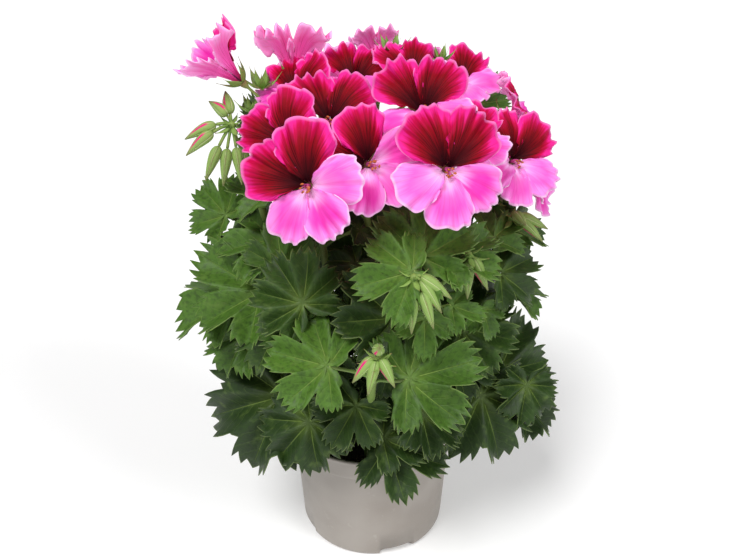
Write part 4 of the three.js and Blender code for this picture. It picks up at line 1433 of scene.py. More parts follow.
@dataclass
class Leaf:
    """One leaf: a pleated, toothed blade and its petiole.

    Depths, bends and waves are shares of the blade's size, but the quilting is in millimetres.
    The pleats are a factor on the solid's, the veins' step and slant are those of the side veins
    along a rib, and the climb is how far the petiole rises for each millimetre outwards.
    """

    plan: LeafPlan
    stance: Stance
    seed: int
    # How young the leaf is, with painted light added for the upper left and the top.
    age: float
    rows: int = 8
    tooth_steps: int = 4
    tooth_depth: float = 0.2
    fill: float = 0.08
    behind: float = 0.07
    pleats: float = 2.45
    bend: tuple[float, float] = (-0.2, 0.12)
    slow_wave: float = 0.05
    quick_wave: float = 0.042
    rim_wave: float = 0.036
    vein_step: float = 0.15
    vein_slant: float = 1.15
    quilting: float = 0.3
    climb: float = 0.45

    @staticmethod
    def corners(plan: LeafPlan, stance: Stance) -> Array:
        """Corners of the blade's outline, as the solid has them.

        Args:
            plan: The leaf.
            stance: Its stance, or several.

        Returns:
            Points of shape (..., corners, 3).
        """
        angle, reach, place = plan.form.knots().T
        rise = plan.cup * reach**2 - PLEAT * reach * np.cos(np.pi * place)
        a = np.radians(angle)
        along, across = plan.size * reach * np.cos(a), plan.size * reach * np.sin(a)
        return Axes.of(stance.face, stance.turn).place(
            stance.at, along, across, plan.size * rise
        )

    def outline(self, draw: np.random.Generator) -> tuple[Array, Array, Array, Array]:
        """The fine edge.

        Args:
            draw: Source of the teeth's sizes.

        Returns:
            Angle, smooth reach, toothed reach and fold of each point. Fold is 0 on a rib and 1 in
            a notch. The smooth reach falls from the lobe's tip to the notch by a power of fold,
            and the teeth are saw-shaped, with their points towards the lobe's tip.
        """
        form = self.plan.form
        lobes, reach = np.array(form.lobes).T
        steps = self.tooth_steps * form.fine_teeth
        share = np.arange(1 - steps, steps) / steps
        angle = (lobes[:, None] + form.half * share).ravel()
        angle = np.sort(np.concatenate((angle, lobes[:-1] + form.half)))
        own = np.abs(angle[:, None] - lobes).argmin(1)
        fold = np.abs(angle - lobes[own]) / form.half
        beside = np.clip(own + np.sign(angle - lobes[own]).astype(int), 0, len(lobes) - 1)
        notch = (form.notch + self.fill) * (reach[own] + reach[beside]) / 2
        spread = reach[own] + (notch - reach[own]) * fold**form.fullness
        tooth = fold * form.fine_teeth + 1e-6
        number = np.floor(tooth).astype(int) % form.fine_teeth
        sides = 2 * own + (angle > lobes[own])
        depth = draw.uniform(0.6, 1.4, (2 * len(lobes), form.fine_teeth))[sides, number]
        point = 1.0 - tooth % 1.0
        toothed = spread + self.tooth_depth * reach[own] * depth * (point - 0.6) * (1 - 0.3 * fold)
        limit = angle[-1]
        close = np.array((0.25, 0.5, 0.75))
        last = limit + (180.0 - limit) * close
        shrink = spread[-1] * (1 - close) + self.behind * close
        angle = np.concatenate((-last[::-1], angle, last))
        spread = np.concatenate((shrink[::-1], spread, shrink))
        toothed = np.concatenate((shrink[::-1], toothed, shrink))
        fold = np.concatenate((np.ones(len(close)), fold, np.ones(len(close))))
        return angle, spread, toothed, fold

    def blade(self, skin: Skin) -> None:
        """Adds the blade.

        A row's share of the way to the edge times the reach gives the distance r from the
        petiole. The rise is the cup times r squared, less the pleat times r and a shape that is
        half a cosine of fold and half a crease along the rib, plus a bend of each lobe, waves
        that grow with the third power of the row or more, and a quilting between the side veins.

        Args:
            skin: The mesh to add to.
        """
        draw = np.random.default_rng(self.seed)
        angle, smooth_reach, toothed, fold = self.outline(draw)
        size, form = self.plan.size, self.plan.form
        row = np.linspace(0, 1, self.rows + 1)[1:, None] ** 0.8
        r = row * (smooth_reach + (toothed - smooth_reach) * row**7)
        a = np.radians(angle)
        lobes = np.array([lobe for lobe, _ in form.lobes], float)
        off = np.abs(a[:, None] - np.radians(lobes)).min(1)
        lateral, along_rib = r * size * np.sin(off), r * size * np.cos(off)
        phase = (along_rib - self.vein_slant * lateral) / (self.vein_step * size) + 0.35
        wave = draw.uniform(0, 2 * np.pi, 3)
        bend = np.interp(angle, lobes, draw.uniform(*self.bend, len(lobes)))
        fold_shape = 0.5 * np.cos(np.pi * fold) + 0.5 * (1 - 2 * np.sqrt(fold**2 + 0.004))
        rise = self.plan.cup * r**2 - self.pleats * PLEAT * r * fold_shape + bend * r**2
        slow = self.slow_wave * row**3 * np.sin(2 * a + wave[0])
        rise += slow + self.quick_wave * row**4 * np.sin(5 * a + wave[1])
        between = smooth(lateral, 0.3, 2.5) * (1.15 - row)
        quilt = self.quilting * np.cos(2 * np.pi * phase) * between
        rim = self.rim_wave * size * row**6 * np.sin(15 * a + wave[2])
        points = Axes.of(self.stance.face, self.stance.turn).place(
            self.stance.at, size * r * np.cos(a), size * r * np.sin(a), size * rise - quilt + rim,
        )
        skin.grid(
            points, poles=(True, False), lateral=lateral, phase=phase, edge=row, age=self.age
        )

    def petiole(self, path: Array) -> Array:
        """Middle line of the petiole, from the stem's axis to the blade's underside.

        Args:
            path: The stem's path.

        Returns:
            Points of a Bezier curve that starts lower the further away the leaf is.
        """
        axes = Axes.of(self.stance.face, self.stance.turn)
        end, size = self.stance.at, self.plan.size
        level = point_at(path, end[2])
        away = math.hypot(end[0] - level[0], end[1] - level[1])
        lowest, highest = SOIL_EDGE + SOIL_MOUND + 5, path[-1, 2] - 3
        height = max(lowest, min(highest, end[2] - self.climb * away - 4))
        start = point_at(path, height)
        run = float(np.linalg.norm(end - start))
        guide_a = start + (end - start) * 0.35 + UP * 0.1 * run
        guide_b = end - axes.front * 0.22 * size - axes.heading * 0.2 * size
        return bezier(start, guide_a, guide_b, end, 16)


def point_at(path: Array, height: float) -> Array:
    """Point of a stem's path at a height.

    Args:
        path: The stem's path.
        height: The height.

    Returns:
        The point, or the path's last one if it ends lower.
    """
    above = np.flatnonzero(path[1:, 2] >= height)
    if not above.size:
        return path[-1]
    k = above[0] + 1
    share = (height - path[k - 1, 2]) / (path[k, 2] - path[k - 1, 2])
    return path[k - 1] + (path[k] - path[k - 1]) * share


def stem_path(way: tuple[tuple[float, ...], ...]) -> Array:
    """Corners of a stem's path, as the solid has them.

    Args:
        way: Where it enters the soil, and the points that it passes.

    Returns:
        The corners, from its foot in the soil to its hub.
    """
    x, y = way[0]
    top = np.array((x, y, SOIL_EDGE + SOIL_MOUND + 2))
    curve = spline(np.vstack((top, way[1:])), 6)
    return np.vstack(((x, y, HOLE_FLOOR + GAP), curve))


def hidden_leaves(paths: list[Array]) -> list[LeafPlan]:
    """Leaves in whorls round the sides and back, each a little different.

    Args:
        paths: The stems' paths.

    Returns:
        Their plans.
    """
    draw = iter(draws(WHORL_SEED, 8 * sum(count for _, count, _ in WHORLS)))
    slip, deep, lift, swing = 0.3, 8, 16, 24  # spreads of place round, distance, height and facing
    plans = []
    for level, (height, count, distance) in enumerate(WHORLS):
        for k in range(count):
            share = (k + 0.5 + slip * (next(draw) - 0.5)) / count
            azimuth = WHORL_ARC[0] + (WHORL_ARC[1] - WHORL_ARC[0]) * share
            out = distance + deep * (next(draw) - 0.5)
            a = math.radians(azimuth)
            z = height + lift * (next(draw) - 0.5)
            at = np.array((out * math.cos(a), out * math.sin(a), z))
            reach = [
                np.linalg.norm(point_at(path, height - 10) - at) for path in paths[:WHORL_STEMS]
            ]
            face = np.array((azimuth + swing * (next(draw) - 0.5), 30 + swing * next(draw)))
            turn = 150 + 60 * next(draw)
            size = 31 + 8 * next(draw)
            kind = LeafKind.PLAIN if level % 2 else LeafKind.CUT
            cup = 0.1 * (next(draw) - 0.5)
            stem = int(np.argmin(reach)) + 1
            plans.append(LeafPlan(stem, Stance(at, face, turn), size, kind.value, cup))
    return plans


@dataclass(frozen=True)
class InnerLeaves:
    """Smaller leaves all along the stems, which fill the plant between its outer leaves."""

    lowest: float = 104.0
    step: float = 13.0
    golden_angle: float = 137.5
    stem_angle: float = 47.0
    widest: float = 72.0
    clearance: float = 13.0
    seed: int = 77

    def plans(self, paths: list[Array], taken: Array) -> list[LeafPlan]:
        """Works out the leaves: one at each step up a stem, each a golden angle further round.

        Args:
            paths: The stems' paths.
            taken: Places of the leaves and blooms that are already there.

        Returns:
            The plans of those that keep clear of what is there and inside the plant.
        """
        draw = np.random.default_rng(self.seed)
        plans = []
        for number, path in enumerate(paths[:WHORL_STEMS]):
            heights = np.arange(self.lowest, path[-1, 2] - 4, self.step)
            for k, height in enumerate(heights):
                azimuth = (
                    self.golden_angle * k + self.stem_angle * number + draw.uniform(-15, 15)
                )
                a, away = math.radians(azimuth), draw.uniform(14, 26)
                size, tip = draw.uniform(19, 27), draw.uniform(28, 60)
                turn, cup = draw.uniform(140, 220), draw.uniform(-0.1, 0.1)
                centre = point_at(path, height)
                at = centre + np.array((away * math.cos(a), away * math.sin(a), 7.0))
                near = np.linalg.norm(taken - at, axis=1).min()
                if np.hypot(at[0], at[1] + 6) > self.widest or near < self.clearance:
                    continue
                stance = Stance(at, np.array((azimuth, tip)), turn)
                plans.append(LeafPlan(number + 1, stance, size, LeafKind.PLAIN.value, cup))
                taken = np.vstack((taken, at))
        return plans


@dataclass(frozen=True)
class Fan:
    """Petals of one colour: middle angle, half angle of a petal, count and a rim's corners.

    Angles are from the bloom's heading, in degrees. A corner is its place across the petal and
    its share of the petal's length.
    """

    middle: float
    width: float
    count: int
    rim: tuple[tuple[float, float], ...]


class Half(Enum):
    """The two fans of a bloom."""

    UPPER = Fan(0.0, 35.0, 2, ((-1, 0.66), (-0.66, 0.95), (-0.22, 1), (0.22, 1), (0.66, 0.95)))
    LOWER = Fan(180.0, 31.5, 3, ((-1, 0.62), (-0.5, 0.95), (0, 1), (0.5, 0.95)))


@dataclass
class Bloom:
    """One bloom: two dark upper and three pale lower petals, stamens and style.

    Fullness and ruffle are an upper and a lower petal's. The folds are counted over a petal's
    half width. Nicks, flare and cup are shares of a petal's length, and the lip one of its ruffle.
    """

    number: int
    plan: BloomPlan
    stance: Stance
    columns: int = 46
    rows: int = 14
    fullness: tuple[float, float] = (1.1, 0.99)
    ruffle: tuple[float, float] = (0.085, 0.06)
    broad_folds: float = 1.5
    frill_folds: float = 4.9
    fine_folds: float = 9.1
    hem_folds: float = 6.5
    nicks: float = 0.014
    flare: float = 0.07
    cup: float = 0.07
    lip: float = 1.4
    anthers: int = 7
    filament_radius: tuple[float, float] = (0.32, 0.2)
    anther_half: float = 0.9
    anther_radius: float = 0.55

    @staticmethod
    def profile(length: float, open_angle: float, way: Array) -> tuple[Array, Array]:
        """Distance out and rise along a petal's middle, by a quadratic curve.

        Args:
            length: The petal's length.
            open_angle: How far it opens from the bloom's front, in degrees.
            way: Shares of the way from the throat to the edge.

        Returns:
            The distances and the rises.
        """
        a = math.radians(open_angle)
        out = (CLAW_RADIUS, THROAT_RADIUS, length * math.sin(a))
        rise = (-CLAW_FOOT, 0.2 * length, 0.9 * length * math.cos(a) + 1)
        s = 1 - way
        return tuple(
            s * s * p[0] + 2 * s * way * p[1] + way * way * p[2] for p in (out, rise)
        )

    @classmethod
    def corners(cls, plan: BloomPlan, stance: Stance, half: Half) -> Array:
        """Rim corners of one fan, as the solid has them.

        Args:
            plan: The bloom.
            stance: Its stance, or several.
            half: Which fan.

        Returns:
            Points of shape (..., corners, 3).
        """
        fan = half.value
        across, reach = np.array(fan.rim * fan.count).T
        number = np.repeat(np.arange(fan.count), len(fan.rim))
        a = np.radians(fan.middle - fan.width * fan.count + fan.width * (2 * number + 1 + across))
        sign = np.tile(np.where(np.arange(len(fan.rim)) % 2, 1.0, -0.7), fan.count)
        out, rise = cls.profile(plan.length, plan.open, reach)
        rise = rise + sign * RUFFLE * plan.length
        axes = Axes.of(stance.face, stance.turn)
        return axes.place(stance.at, out * np.cos(a), out * np.sin(a), rise)

    def petal(
        self, half: Half, k: int, across: Array, way: Array, draw: np.random.Generator
    ) -> Array:
        """Works out one petal.

        Its angle is the petal's middle plus across times its half angle, and its distance and
        rise follow the profile. The rise also has broad ruffles, a frill and a fine frill at the
        edge, folds of the side hems, a curl, a lip that turns back at the edge, a cup, and a tilt
        that laps it over its neighbour.

        Args:
            half: Which fan it is in.
            k: Its number in the fan.
            across: Places across it, -1 to 1, shape (1, columns).
            way: Shares of the way to the edge, shape (rows, 1).
            draw: Source of its chances.

        Returns:
            Points of shape (rows, columns, 3).
        """
        fan, lower = half.value, half is Half.LOWER
        length, ruffle = self.fullness[lower] * self.plan.length, self.ruffle[lower]
        flare = self.flare * length * smooth(np.array(60.0 - self.plan.open), 0.0, 25.0)
        wave = draw.uniform(0, 2 * np.pi, 5)
        shape = 1.0 - (1.0 - fan.rim[0][1] - 0.08) * np.abs(across) ** 4
        drift = across + 0.16 * np.sin(3 * across + wave[4])
        nicks = self.nicks * np.sin(np.pi * drift * self.frill_folds + wave[1] + 1.2)
        reach = way * (shape + nicks * way**6)
        spread = fan.width * (0.84 + 0.4 * smooth(way, 0.1, 0.6))
        a = np.radians(fan.middle + fan.width * (2 * k + 1 - fan.count) + spread * across)
        out, rise = self.profile(length, self.plan.open, reach)
        out = out + flare * way**4
        broad = np.cos(np.pi * drift * self.broad_folds + wave[0]) * way**2.4
        uneven = 0.7 + 0.3 * np.sin(2.6 * across + wave[3])
        frill = np.sin(np.pi * drift * self.frill_folds + wave[1]) * way**6 * uneven
        fine = np.sin(np.pi * drift * self.fine_folds + wave[2]) * way**11
        hem = np.abs(across) ** 8 * smooth(way, 0.35, 0.75) * (1 - way**8)
        side = hem * np.sin(np.pi * way * self.hem_folds + wave[2] * np.sign(across))
        lip = self.lip * ruffle * smooth(way, 0.7, 1.0)
        curl = draw.uniform(-0.08, 0.08) * way**5 + draw.uniform(-0.06, 0.06) * across * way**2
        folds = ruffle * (0.6 * broad + 0.9 * frill + 0.35 * fine + 0.8 * side)
        rise = rise + length * (folds + curl - lip)
        rise = rise + across * smooth(way, 0.1, 0.6)
        cup = self.cup * length * (across**2 - 0.4) * np.sin(np.pi * np.minimum(way, 0.9))
        axes = Axes.of(self.stance.face, self.stance.turn)
        return axes.place(self.stance.at, out * np.cos(a), out * np.sin(a), rise + cup)

    def petals(self, half: Half, inside: bpy.types.Material, outside: bpy.types.Material) -> None:
        """Builds one fan of petals, each a sheet with a wall.

        Args:
            half: Which fan.
            inside: Finish of its front.
            outside: Finish of its back.
        """
        draw = np.random.default_rng(PETAL_SEED + 10 * self.number + half.value.count)
        skin = Skin()
        across = np.linspace(-1, 1, self.columns)[None]
        way = np.linspace(0, 1, self.rows)[:, None] ** 0.72
        for k in range(half.value.count):
            points = self.petal(half, k, across, way, draw)
            skin.grid(points, edge=way, across=across, tone=draw.uniform())
        name = f"bloom_{self.number:02d}_{half.name.lower()}_petals"
        piece = skin.build(f"{name}_fine", [inside, outside])
        thicken(piece, PETAL_WALL)
        hand_over(piece, f"petals_{half.name.lower()}", name)

    def stamens(self, palette: Palette) -> None:
        """Builds the filaments with their anthers, and the style, which has none.

        Args:
            palette: The plant's finishes.
        """
        draw = np.random.default_rng(STAMEN_SEED + self.number)
        skin = Skin()
        axes = Axes.of(self.stance.face, self.stance.turn)
        foot = self.stance.at - axes.front * (CALYX_SEAT - 0.6)
        along = np.linspace(-1, 1, 6)
        swell = self.anther_radius * np.sqrt(1 - (0.97 * along) ** 2)
        for k in range(self.anthers + 1):
            a = 2 * math.pi * k / self.anthers + 0.3 * draw.uniform()
            lean = 0.9 if k < self.anthers else 0.1
            drop = 2.4 * draw.uniform(0.4, 1.2)
            side = axes.side * math.sin(a) * lean + axes.heading * (math.cos(a) * lean)
            reach = draw.uniform(7.5, 10.5)
            tip = foot + axes.front * reach + side * draw.uniform(1.4, 2.6) - axes.heading * drop
            guide = foot + axes.front * reach * 0.6 + side * 0.8
            line = bezier(foot + side * 0.6, guide, guide, tip, 7)
            skin.tube(line, np.linspace(*self.filament_radius, 7), 5, StamenSlot.FILAMENT)
            if k < self.anthers:
                grain = self.anther_half * along[:, None] * unit(axes.side + side * 0.4)
                skin.tube(tip + grain, swell, 6, StamenSlot.ANTHER)
        piece = skin.build(
            f"bloom_{self.number:02d}_stamens", [palette.filament, palette.anther]
        )
        hand_over(piece, "petals_upper")

    def build(self, palette: Palette) -> None:
        """Builds all of the bloom.

        Args:
            palette: The plant's finishes.
        """
        self.petals(Half.UPPER, palette.upper, palette.outside)
        self.petals(Half.LOWER, palette.lower, palette.outside)
        self.stamens(palette)

    def pedicel(self, hub: Array) -> Array:
        """Middle line of the pedicel, a Bezier curve.

        Args:
            hub: The stem's hub, where it starts.

        Returns:
            Its points, up to the calyx.
        """
        front = Axes.of(self.stance.face, self.stance.turn).front
        foot = self.stance.at - front * CALYX_FOOT
        run = float(np.linalg.norm(foot - hub))
        start = hub + unit(foot - hub) * 0.5 * KNOB_RADIUS
        guide_a = hub + (foot - hub) * 0.3 + UP * 0.08 * run
        return bezier(start, guide_a, foot - front * 0.3 * run, foot + front * 0.8, 14)


@dataclass
class LeafyStem:
    """One stem with its leaves, pedicels, calyces, bracts, tufts and bud sprays."""

    number: int
    path: Array
    leaves: list[Leaf]
    blooms: list[Bloom]
    sprays: list[tuple[float, Array, Array]]
    tufts: list[tuple[Array, float]]
    joints: int = 7
    stem_sides: int = 12
    stalk_sides: int = 8
    bud_sides: int = 20
    stem_hairs: int = 420
    calyx_hairs: int = 110
    bud_hairs: int = 90
    stalk_hairs: int = 60
    sepal_width: float = 2.7
    sepal_bow: float = 1.4
    sepal_wall: float = 0.25

    def build(self, palette: Palette) -> None:
        """Builds the stem's blades and its stalks, which together stand for its solid.

        Args:
            palette: The plant's finishes.
        """
        node = f"leafy_stem_{self.number}"
        tone = "leaves_light" if self.number in PALE_STEMS else "leaves_dark"
        blades = Skin()
        for leaf in self.leaves:
            leaf.blade(blades)
        foliage = blades.build(f"{node}_foliage", [palette.leaf, palette.back])
        thicken(foliage, LEAF_WALL)
        hand_over(foliage, tone, node)
        stalks = Skin()
        self.stem(stalks)
        for k, leaf in enumerate(self.leaves):
            line = leaf.petiole(self.path)
            radii = np.full(len(line), PETIOLE_RADIUS)
            radii[0] = 1.5
            stalks.tube(line, radii, self.stalk_sides)
            stalks.hairs(line, radii, self.stalk_hairs, 31 * k + self.number)
        for k, bloom in enumerate(self.blooms):
            self.calyx(stalks, bloom, 97 * k + self.number)
        for k, spray in enumerate(self.sprays):
            self.spray(stalks, spray, 53 * k + self.number)
            self.bracts(stalks, spray[1])
        if self.blooms:
            self.bracts(stalks, self.path[-1])
        for place, length in self.tufts:
            self.tuft(stalks, place, length)
        piece = stalks.build(
            f"{node}_stalks", [palette.stalk, palette.sepal, palette.bud, palette.hair]
        )
        hand_over(piece, tone, node)

    def stem(self, skin: Skin) -> None:
        """Adds the stem, which tapers evenly and swells at its joints and at its hub.

        Args:
            skin: The mesh to add to.
        """
        line = np.vstack((self.path[:1], spline(self.path[1:], 60)))
        share = np.clip((line[:, 2] - line[1, 2]) / np.ptp(line[1:, 2]), 0, 1)
        swell = np.exp(-(((share * self.joints) % 1.0 - 0.5) ** 2) / 0.01)
        radii = STEM_RADIUS[0] + (STEM_RADIUS[1] - STEM_RADIUS[0]) * share + 0.35 * swell
        radii[-3:] = (2.0, KNOB_RADIUS, 1.2)
        skin.tube(line, radii, self.stem_sides)
        skin.hairs(line[6:], radii[6:], self.stem_hairs, 7 + self.number, 0.8)

    def calyx(self, skin: Skin, bloom: Bloom, seed: int) -> None:
        """Adds a pedicel and its calyx of five tapering sepals.

        Args:
            skin: The mesh to add to.
            bloom: The bloom that it carries.
            seed: Seed of the hairs.
        """
        line = bloom.pedicel(self.path[-1])
        axes = Axes.of(bloom.stance.face, bloom.stance.turn)
        cup = np.linspace(line[-1], bloom.stance.at - axes.front * (CALYX_SEAT + GAP), 8)[1:]
        path = np.vstack((line, cup))
        swell = 1.5 * np.sin(np.linspace(0, np.pi / 2, len(cup)))
        radii = np.concatenate((np.full(len(line), PEDICEL_RADIUS), PEDICEL_RADIUS + swell))
        skin.tube(path, radii, self.stalk_sides, StalkSlot.SEPAL)
        skin.hairs(path, radii, self.calyx_hairs, seed)
        seat = bloom.stance.at - axes.front * (CALYX_SEAT + 0.5)
        spread = 24 if bloom.plan.open > 50 else 8
        self.sepals(skin, seat, axes, 5, SEPAL_LENGTH, min(bloom.plan.open + spread, 92))

    def tuft(self, skin: Skin, place: Array, length: float) -> None:
        """Adds a tuft of pointed young leaves on a stalk from the stem's hub.

        Args:
            skin: The mesh to add to.
            place: Foot of the tuft.
            length: Length of its longest leaves.
        """
        hub = self.path[-1]
        stalk = bezier(hub, hub + (place - hub) * 0.4 + UP * 2, place - UP * 8, place, 10)
        skin.tube(stalk, np.linspace(1.3, 1.0, len(stalk)), 7)
        upright = Axes.of(np.array((-80.0, 84.0)), 0.0)
        self.sepals(skin, place, upright, 6, length, 48.0)
        self.sepals(skin, place, upright, 5, 0.85 * length, 18.0)

    def bracts(self, skin: Skin, hub: Array) -> None:
        """Adds two whorls of pointed bracts, one under a hub and one over it.

        Args:
            skin: The mesh to add to.
            hub: The hub.
        """
        upright = Axes.of(np.array((-90.0 + 23 * self.number, 88.0)), 0.0)
        self.sepals(skin, hub - UP, upright, 5, 9.0, 96.0)
        self.sepals(skin, hub + UP, upright, 4, 6.5, 58.0)

    def sepals(
        self, skin: Skin, seat: Array, axes: Axes, count: int, length: float, tilt: float
    ) -> None:
        """Adds a whorl of pointed sepals or bracts.

        Each is two grids joined in a ring, of way (0 to 1) and across (-1 to 1). Its width is a
        power of a sine of way, cut off by 1 - way^3, and it bows by a sine of way lengthways and
        by 1 - across^2 sideways.

        Args:
            skin: The mesh to add to.
            seat: Middle of the whorl.
            axes: Its directions.
            count: How many it has.
            length: Their length.
            tilt: Their angle from the front, in degrees.
        """
        way = np.linspace(0, 1, 9)[:, None]
        across = np.linspace(-1, 1, 5)[None]
        slim = length / SEPAL_LENGTH
        belly = np.sin(np.pi * np.minimum(way * 0.86 + 0.2, 1.0)) ** 0.8
        width = self.sepal_width * slim * belly * (1 - way**3)
        half = self.sepal_wall * (1 - across**2)
        lean = math.radians(tilt)
        for k in range(count):
            a = math.pi * (2 * k + 1) / count
            bow = self.sepal_bow * slim * np.sin(np.pi * way) - half * (1 - way)
            out = CLAW_RADIUS + length * way * math.sin(lean)
            rise = length * way * math.cos(lean) - bow
            beside = width * across
            along = out * math.cos(a) - beside * math.sin(a)
            sideways = out * math.sin(a) + beside * math.cos(a)
            front = axes.place(seat, along, sideways, rise + half)
            back = axes.place(seat, along, sideways, rise - half - 0.02)
            ring = np.concatenate((front, back[:, -2:0:-1]), 1)
            skin.grid(ring, StalkSlot.SEPAL, ring=True, poles=(True, True), along=way)

    def spray(self, skin: Skin, spray: tuple[float, Array, Array], seed: int) -> None:
        """Adds a spray: a stalk, a swollen hub and long ridged buds on arching pedicels.

        A bud's radius is a power of the way from its foot times one of the way to its tip, and
        its ridges are the size of a sine of two and a half turns, five in all.

        Args:
            skin: The mesh to add to.
            spray: Height where it leaves the stem, its hub and the buds' tips.
            seed: Seed of the hairs.
        """
        height, hub, tips = spray
        start = point_at(self.path, height)
        stalk = bezier(start, start + (hub - start) * 0.3 + UP * 2, hub - UP * 6, hub, 12)
        radii = np.linspace(1.3, 1.1, len(stalk))
        skin.tube(stalk, radii, self.stalk_sides)
        skin.hairs(stalk, radii, self.stalk_hairs, seed)
        knob = hub + UP * np.linspace(-2.2, 2.2, 7)[:, None]
        round_off = np.sqrt(1.02 - np.linspace(-1, 1, len(knob)) ** 2)
        skin.tube(knob, KNOB_RADIUS * round_off, self.stalk_sides)
        way = np.linspace(0, 1, 16)
        thick = 0.25 + 2.7 * BUD_RADIUS * way**0.55 * (1 - way) ** 1.05
        angle = np.linspace(0, 2 * np.pi, self.bud_sides, endpoint=False)
        ridges = 1 + 0.1 * np.abs(np.sin(2.5 * angle))
        for k, tip in enumerate(tips):
            reach = tip - hub
            share = max(0.16, 1 - BUD_LENGTH / float(np.linalg.norm(reach)))
            root = hub + reach * share + UP * 3
            line = spline(np.vstack((hub, (hub + root) / 2 + UP * 0.8, root)), 8)
            skin.tube(line, np.full(len(line), 0.9), 6)
            belly = root + (tip - root) * 0.42 + UP * 0.8
            bud = spline(np.vstack((root, belly, tip)), len(way))
            skin.tube(bud, thick, self.bud_sides, StalkSlot.BUD, shape=ridges)
            skin.hairs(bud[:-2], thick[:-2], self.bud_hairs, seed + 11 * k)


@dataclass
class Plant:
    """All stems with their leaves and blooms, bent as their solids are."""

    palette: Palette
    paths: list[Array] = field(default_factory=lambda: [stem_path(way) for way in STEMS])

    def blooms(self) -> list[Bloom]:
        """Finds how each bloom is bent.

        Returns:
            The blooms, each in the stance that its two solids show.
        """
        found = []
        for k, (stem, at, face, turn, length, opening) in enumerate(BLOOMS):
            stance = Stance(np.array(at, float), np.array(face, float), turn)
            plan = BloomPlan(stem, stance, length, opening)
            ways = stance.bends(BLOOM_SEED + k, BLOOM_REACH)
            names = [f"bloom_{k + 1:02d}_{half.name.lower()}_petals" for half in Half]
            samples = np.concatenate([Bloom.corners(plan, ways, half) for half in Half], 1)
            vertices = np.vstack([node_points(name) for name in names])
            best = closest_bend(samples, vertices)
            found.append(Bloom(k + 1, plan, ways.pick(best)))
        return found

    def leaves(self) -> list[Leaf]:
        """Finds how each leaf is bent.

        Returns:
            The leaves, each in the stance that its stem's solid shows.
        """
        plans = []
        for stem, at, face, turn, size, kind, cup in LEAVES:
            stance = Stance(np.array(at, float), np.array(face, float), turn)
            plans.append(LeafPlan(stem, stance, size, kind.value, cup))
        plans += hidden_leaves(self.paths)
        solids = [node_points(f"leafy_stem_{k + 1}") for k in range(len(STEMS))]
        found = []
        for k, plan in enumerate(plans):
            ways = plan.stance.bends(LEAF_SEED + k, LEAF_REACH)
            best = closest_bend(Leaf.corners(plan, ways), solids[plan.stem - 1])
            found.append(Leaf(plan, ways.pick(best), BLADE_SEED + k, self.age(plan, k)))
        return found

    def inner(self, leaves: list[Leaf], blooms: list[Bloom]) -> list[Leaf]:
        """Makes the smaller leaves between the outer ones, with a plainer mesh.

        Args:
            leaves: The outer leaves.
            blooms: The blooms.

        Returns:
            The smaller leaves.
        """
        taken = np.array([piece.stance.at for piece in (*leaves, *blooms)])
        return [
            Leaf(plan, plan.stance, INNER_SEED + k, 0.12 + 0.1 * (k % 3), rows=5, tooth_steps=2)
            for k, plan in enumerate(InnerLeaves().plans(self.paths, taken))
        ]

    def age(self, plan: LeafPlan, k: int) -> float:
        """How young a leaf is, with painted light added: the young kind and pale stems are young,
        the top is partly young and partly painted as lit, and the upper left, towards the key
        light, is painted paler as if lit.

        Args:
            plan: The leaf.
            k: Its number.

        Returns:
            From 0, old and dark, to 1, young and yellow-green.
        """
        height = plan.stance.at[2]
        young = 0.9 if plan.form is LeafKind.YOUNG.value else 0.0
        pale = 0.5 if plan.stem in PALE_STEMS else 0.0
        left, up = smooth(-plan.stance.at[0], 40, 75), smooth(height, 150, 190)
        # Painted light: leaves on the upper left, towards the key light, are made paler as if lit.
        painted_light_upper_left = 0.75 * float(left) * float(up)
        # Higher leaves are paler: partly real youth, partly painted light from above.
        high = (height - 150) / 330
        return float(np.clip(0.05 + pale + painted_light_upper_left + young * 0.4 + high + 0.1 * (k % 3), 0, 1))

    def build(self) -> None:
        """Builds every stem and bloom."""
        blooms, leaves = self.blooms(), self.leaves()
        leaves += self.inner(leaves, blooms)
        for bloom in blooms:
            bloom.build(self.palette)
        for k, path in enumerate(self.paths):
            own = [leaf for leaf in leaves if leaf.plan.stem == k + 1]
            carried = [bloom for bloom in blooms if bloom.plan.stem == k + 1]
            sprays = [
                (height, np.array(hub, float), np.array(tips, float))
                for stem, height, hub, tips in SPRAYS
                if stem == k + 1
            ]
            tufts = [(np.array(at, float), size) for stem, at, size in TUFTS if stem == k + 1]
            LeafyStem(k + 1, path, own, carried, sprays, tufts).build(self.palette)


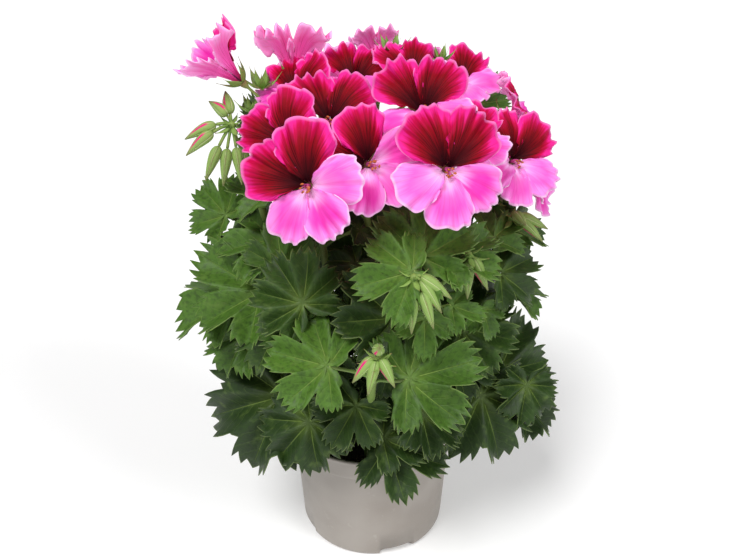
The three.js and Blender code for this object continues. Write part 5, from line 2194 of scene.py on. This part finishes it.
@dataclass
class Studio:
    """A pale floor, soft light and the camera at the photograph's viewing angle.

    The focal length and the frame's width are in pixels, the strengths in watts per square metre,
    and the softness is the angle that a light takes up in the sky, in degrees.
    """

    camera_place: tuple[float, float, float] = (1.7, -500.0, 470.0)
    pitch: float = 29.6
    focal_pixels: float = 930.0
    frame_pixels: float = 750.0
    sensor: float = 36.0
    floor_half: float = 3000.0
    key_place: tuple[float, float, float] = (-450, -750, 1300)
    key_strength: float = 2.4
    fill_place: tuple[float, float, float] = (900, -600, 800)
    fill_strength: float = 1.15
    softness: float = 24.0
    sky: float = 0.31

    def build(self) -> None:
        """Builds the camera, the floor and the lights."""
        self.camera()
        floor = Skin()
        square = np.array(((-1, -1, 0), (1, -1, 0), (1, 1, 0), (-1, 1, 0)))
        floor.add(self.floor_half * square, np.arange(4), NO_TRIS)
        floor.build("floor", [FloorFinish().material()])
        world = bpy.data.worlds.new("studio")
        world.use_nodes = True
        background = world.node_tree.nodes["Background"]
        background.inputs["Color"].default_value = (1, 1, 1, 1)
        background.inputs["Strength"].default_value = self.sky
        bpy.context.scene.world = world
        self.light("key", self.key_place, self.key_strength)
        self.light("fill", self.fill_place, self.fill_strength)
        view = bpy.context.scene.view_settings
        view.view_transform = "Standard"
        view.look = "None"

    def camera(self) -> None:
        """Adds the camera: its lens gives the focal length in pixels over the frame's width."""
        data = bpy.data.cameras.new("camera")
        data.sensor_width = self.sensor
        data.lens = self.focal_pixels / self.frame_pixels * self.sensor
        camera = bpy.data.objects.new("camera", data)
        camera.location = [c * MM for c in self.camera_place]
        camera.rotation_euler = (math.radians(90 - self.pitch), 0.0, 0.0)
        bpy.context.scene.collection.objects.link(camera)
        bpy.context.scene.camera = camera

    def light(self, name: str, place: tuple[float, float, float], strength: float) -> None:
        """Adds a broad soft sun that shines towards the plant.

        Args:
            name: Its name.
            place: A place that it shines from, in millimetres.
            strength: Its strength in watts per square metre.
        """
        data = bpy.data.lights.new(name, "SUN")
        data.energy = strength
        data.angle = math.radians(self.softness)
        lamp = bpy.data.objects.new(name, data)
        lamp.location = [c * MM for c in place]
        aim = -np.array(place) / np.linalg.norm(place)
        lamp.rotation_euler = (math.acos(-aim[2]), 0.0, math.atan2(aim[1], aim[0]) - math.pi / 2)
        bpy.context.scene.collection.objects.link(lamp)


def main() -> None:
    """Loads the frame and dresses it."""
    logging.basicConfig(level=logging.INFO, format="%(message)s")
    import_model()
    Studio().build()
    Pot().build()
    Soil().build()
    Plant(Palette()).build()


if __name__ == "__main__":
    main()
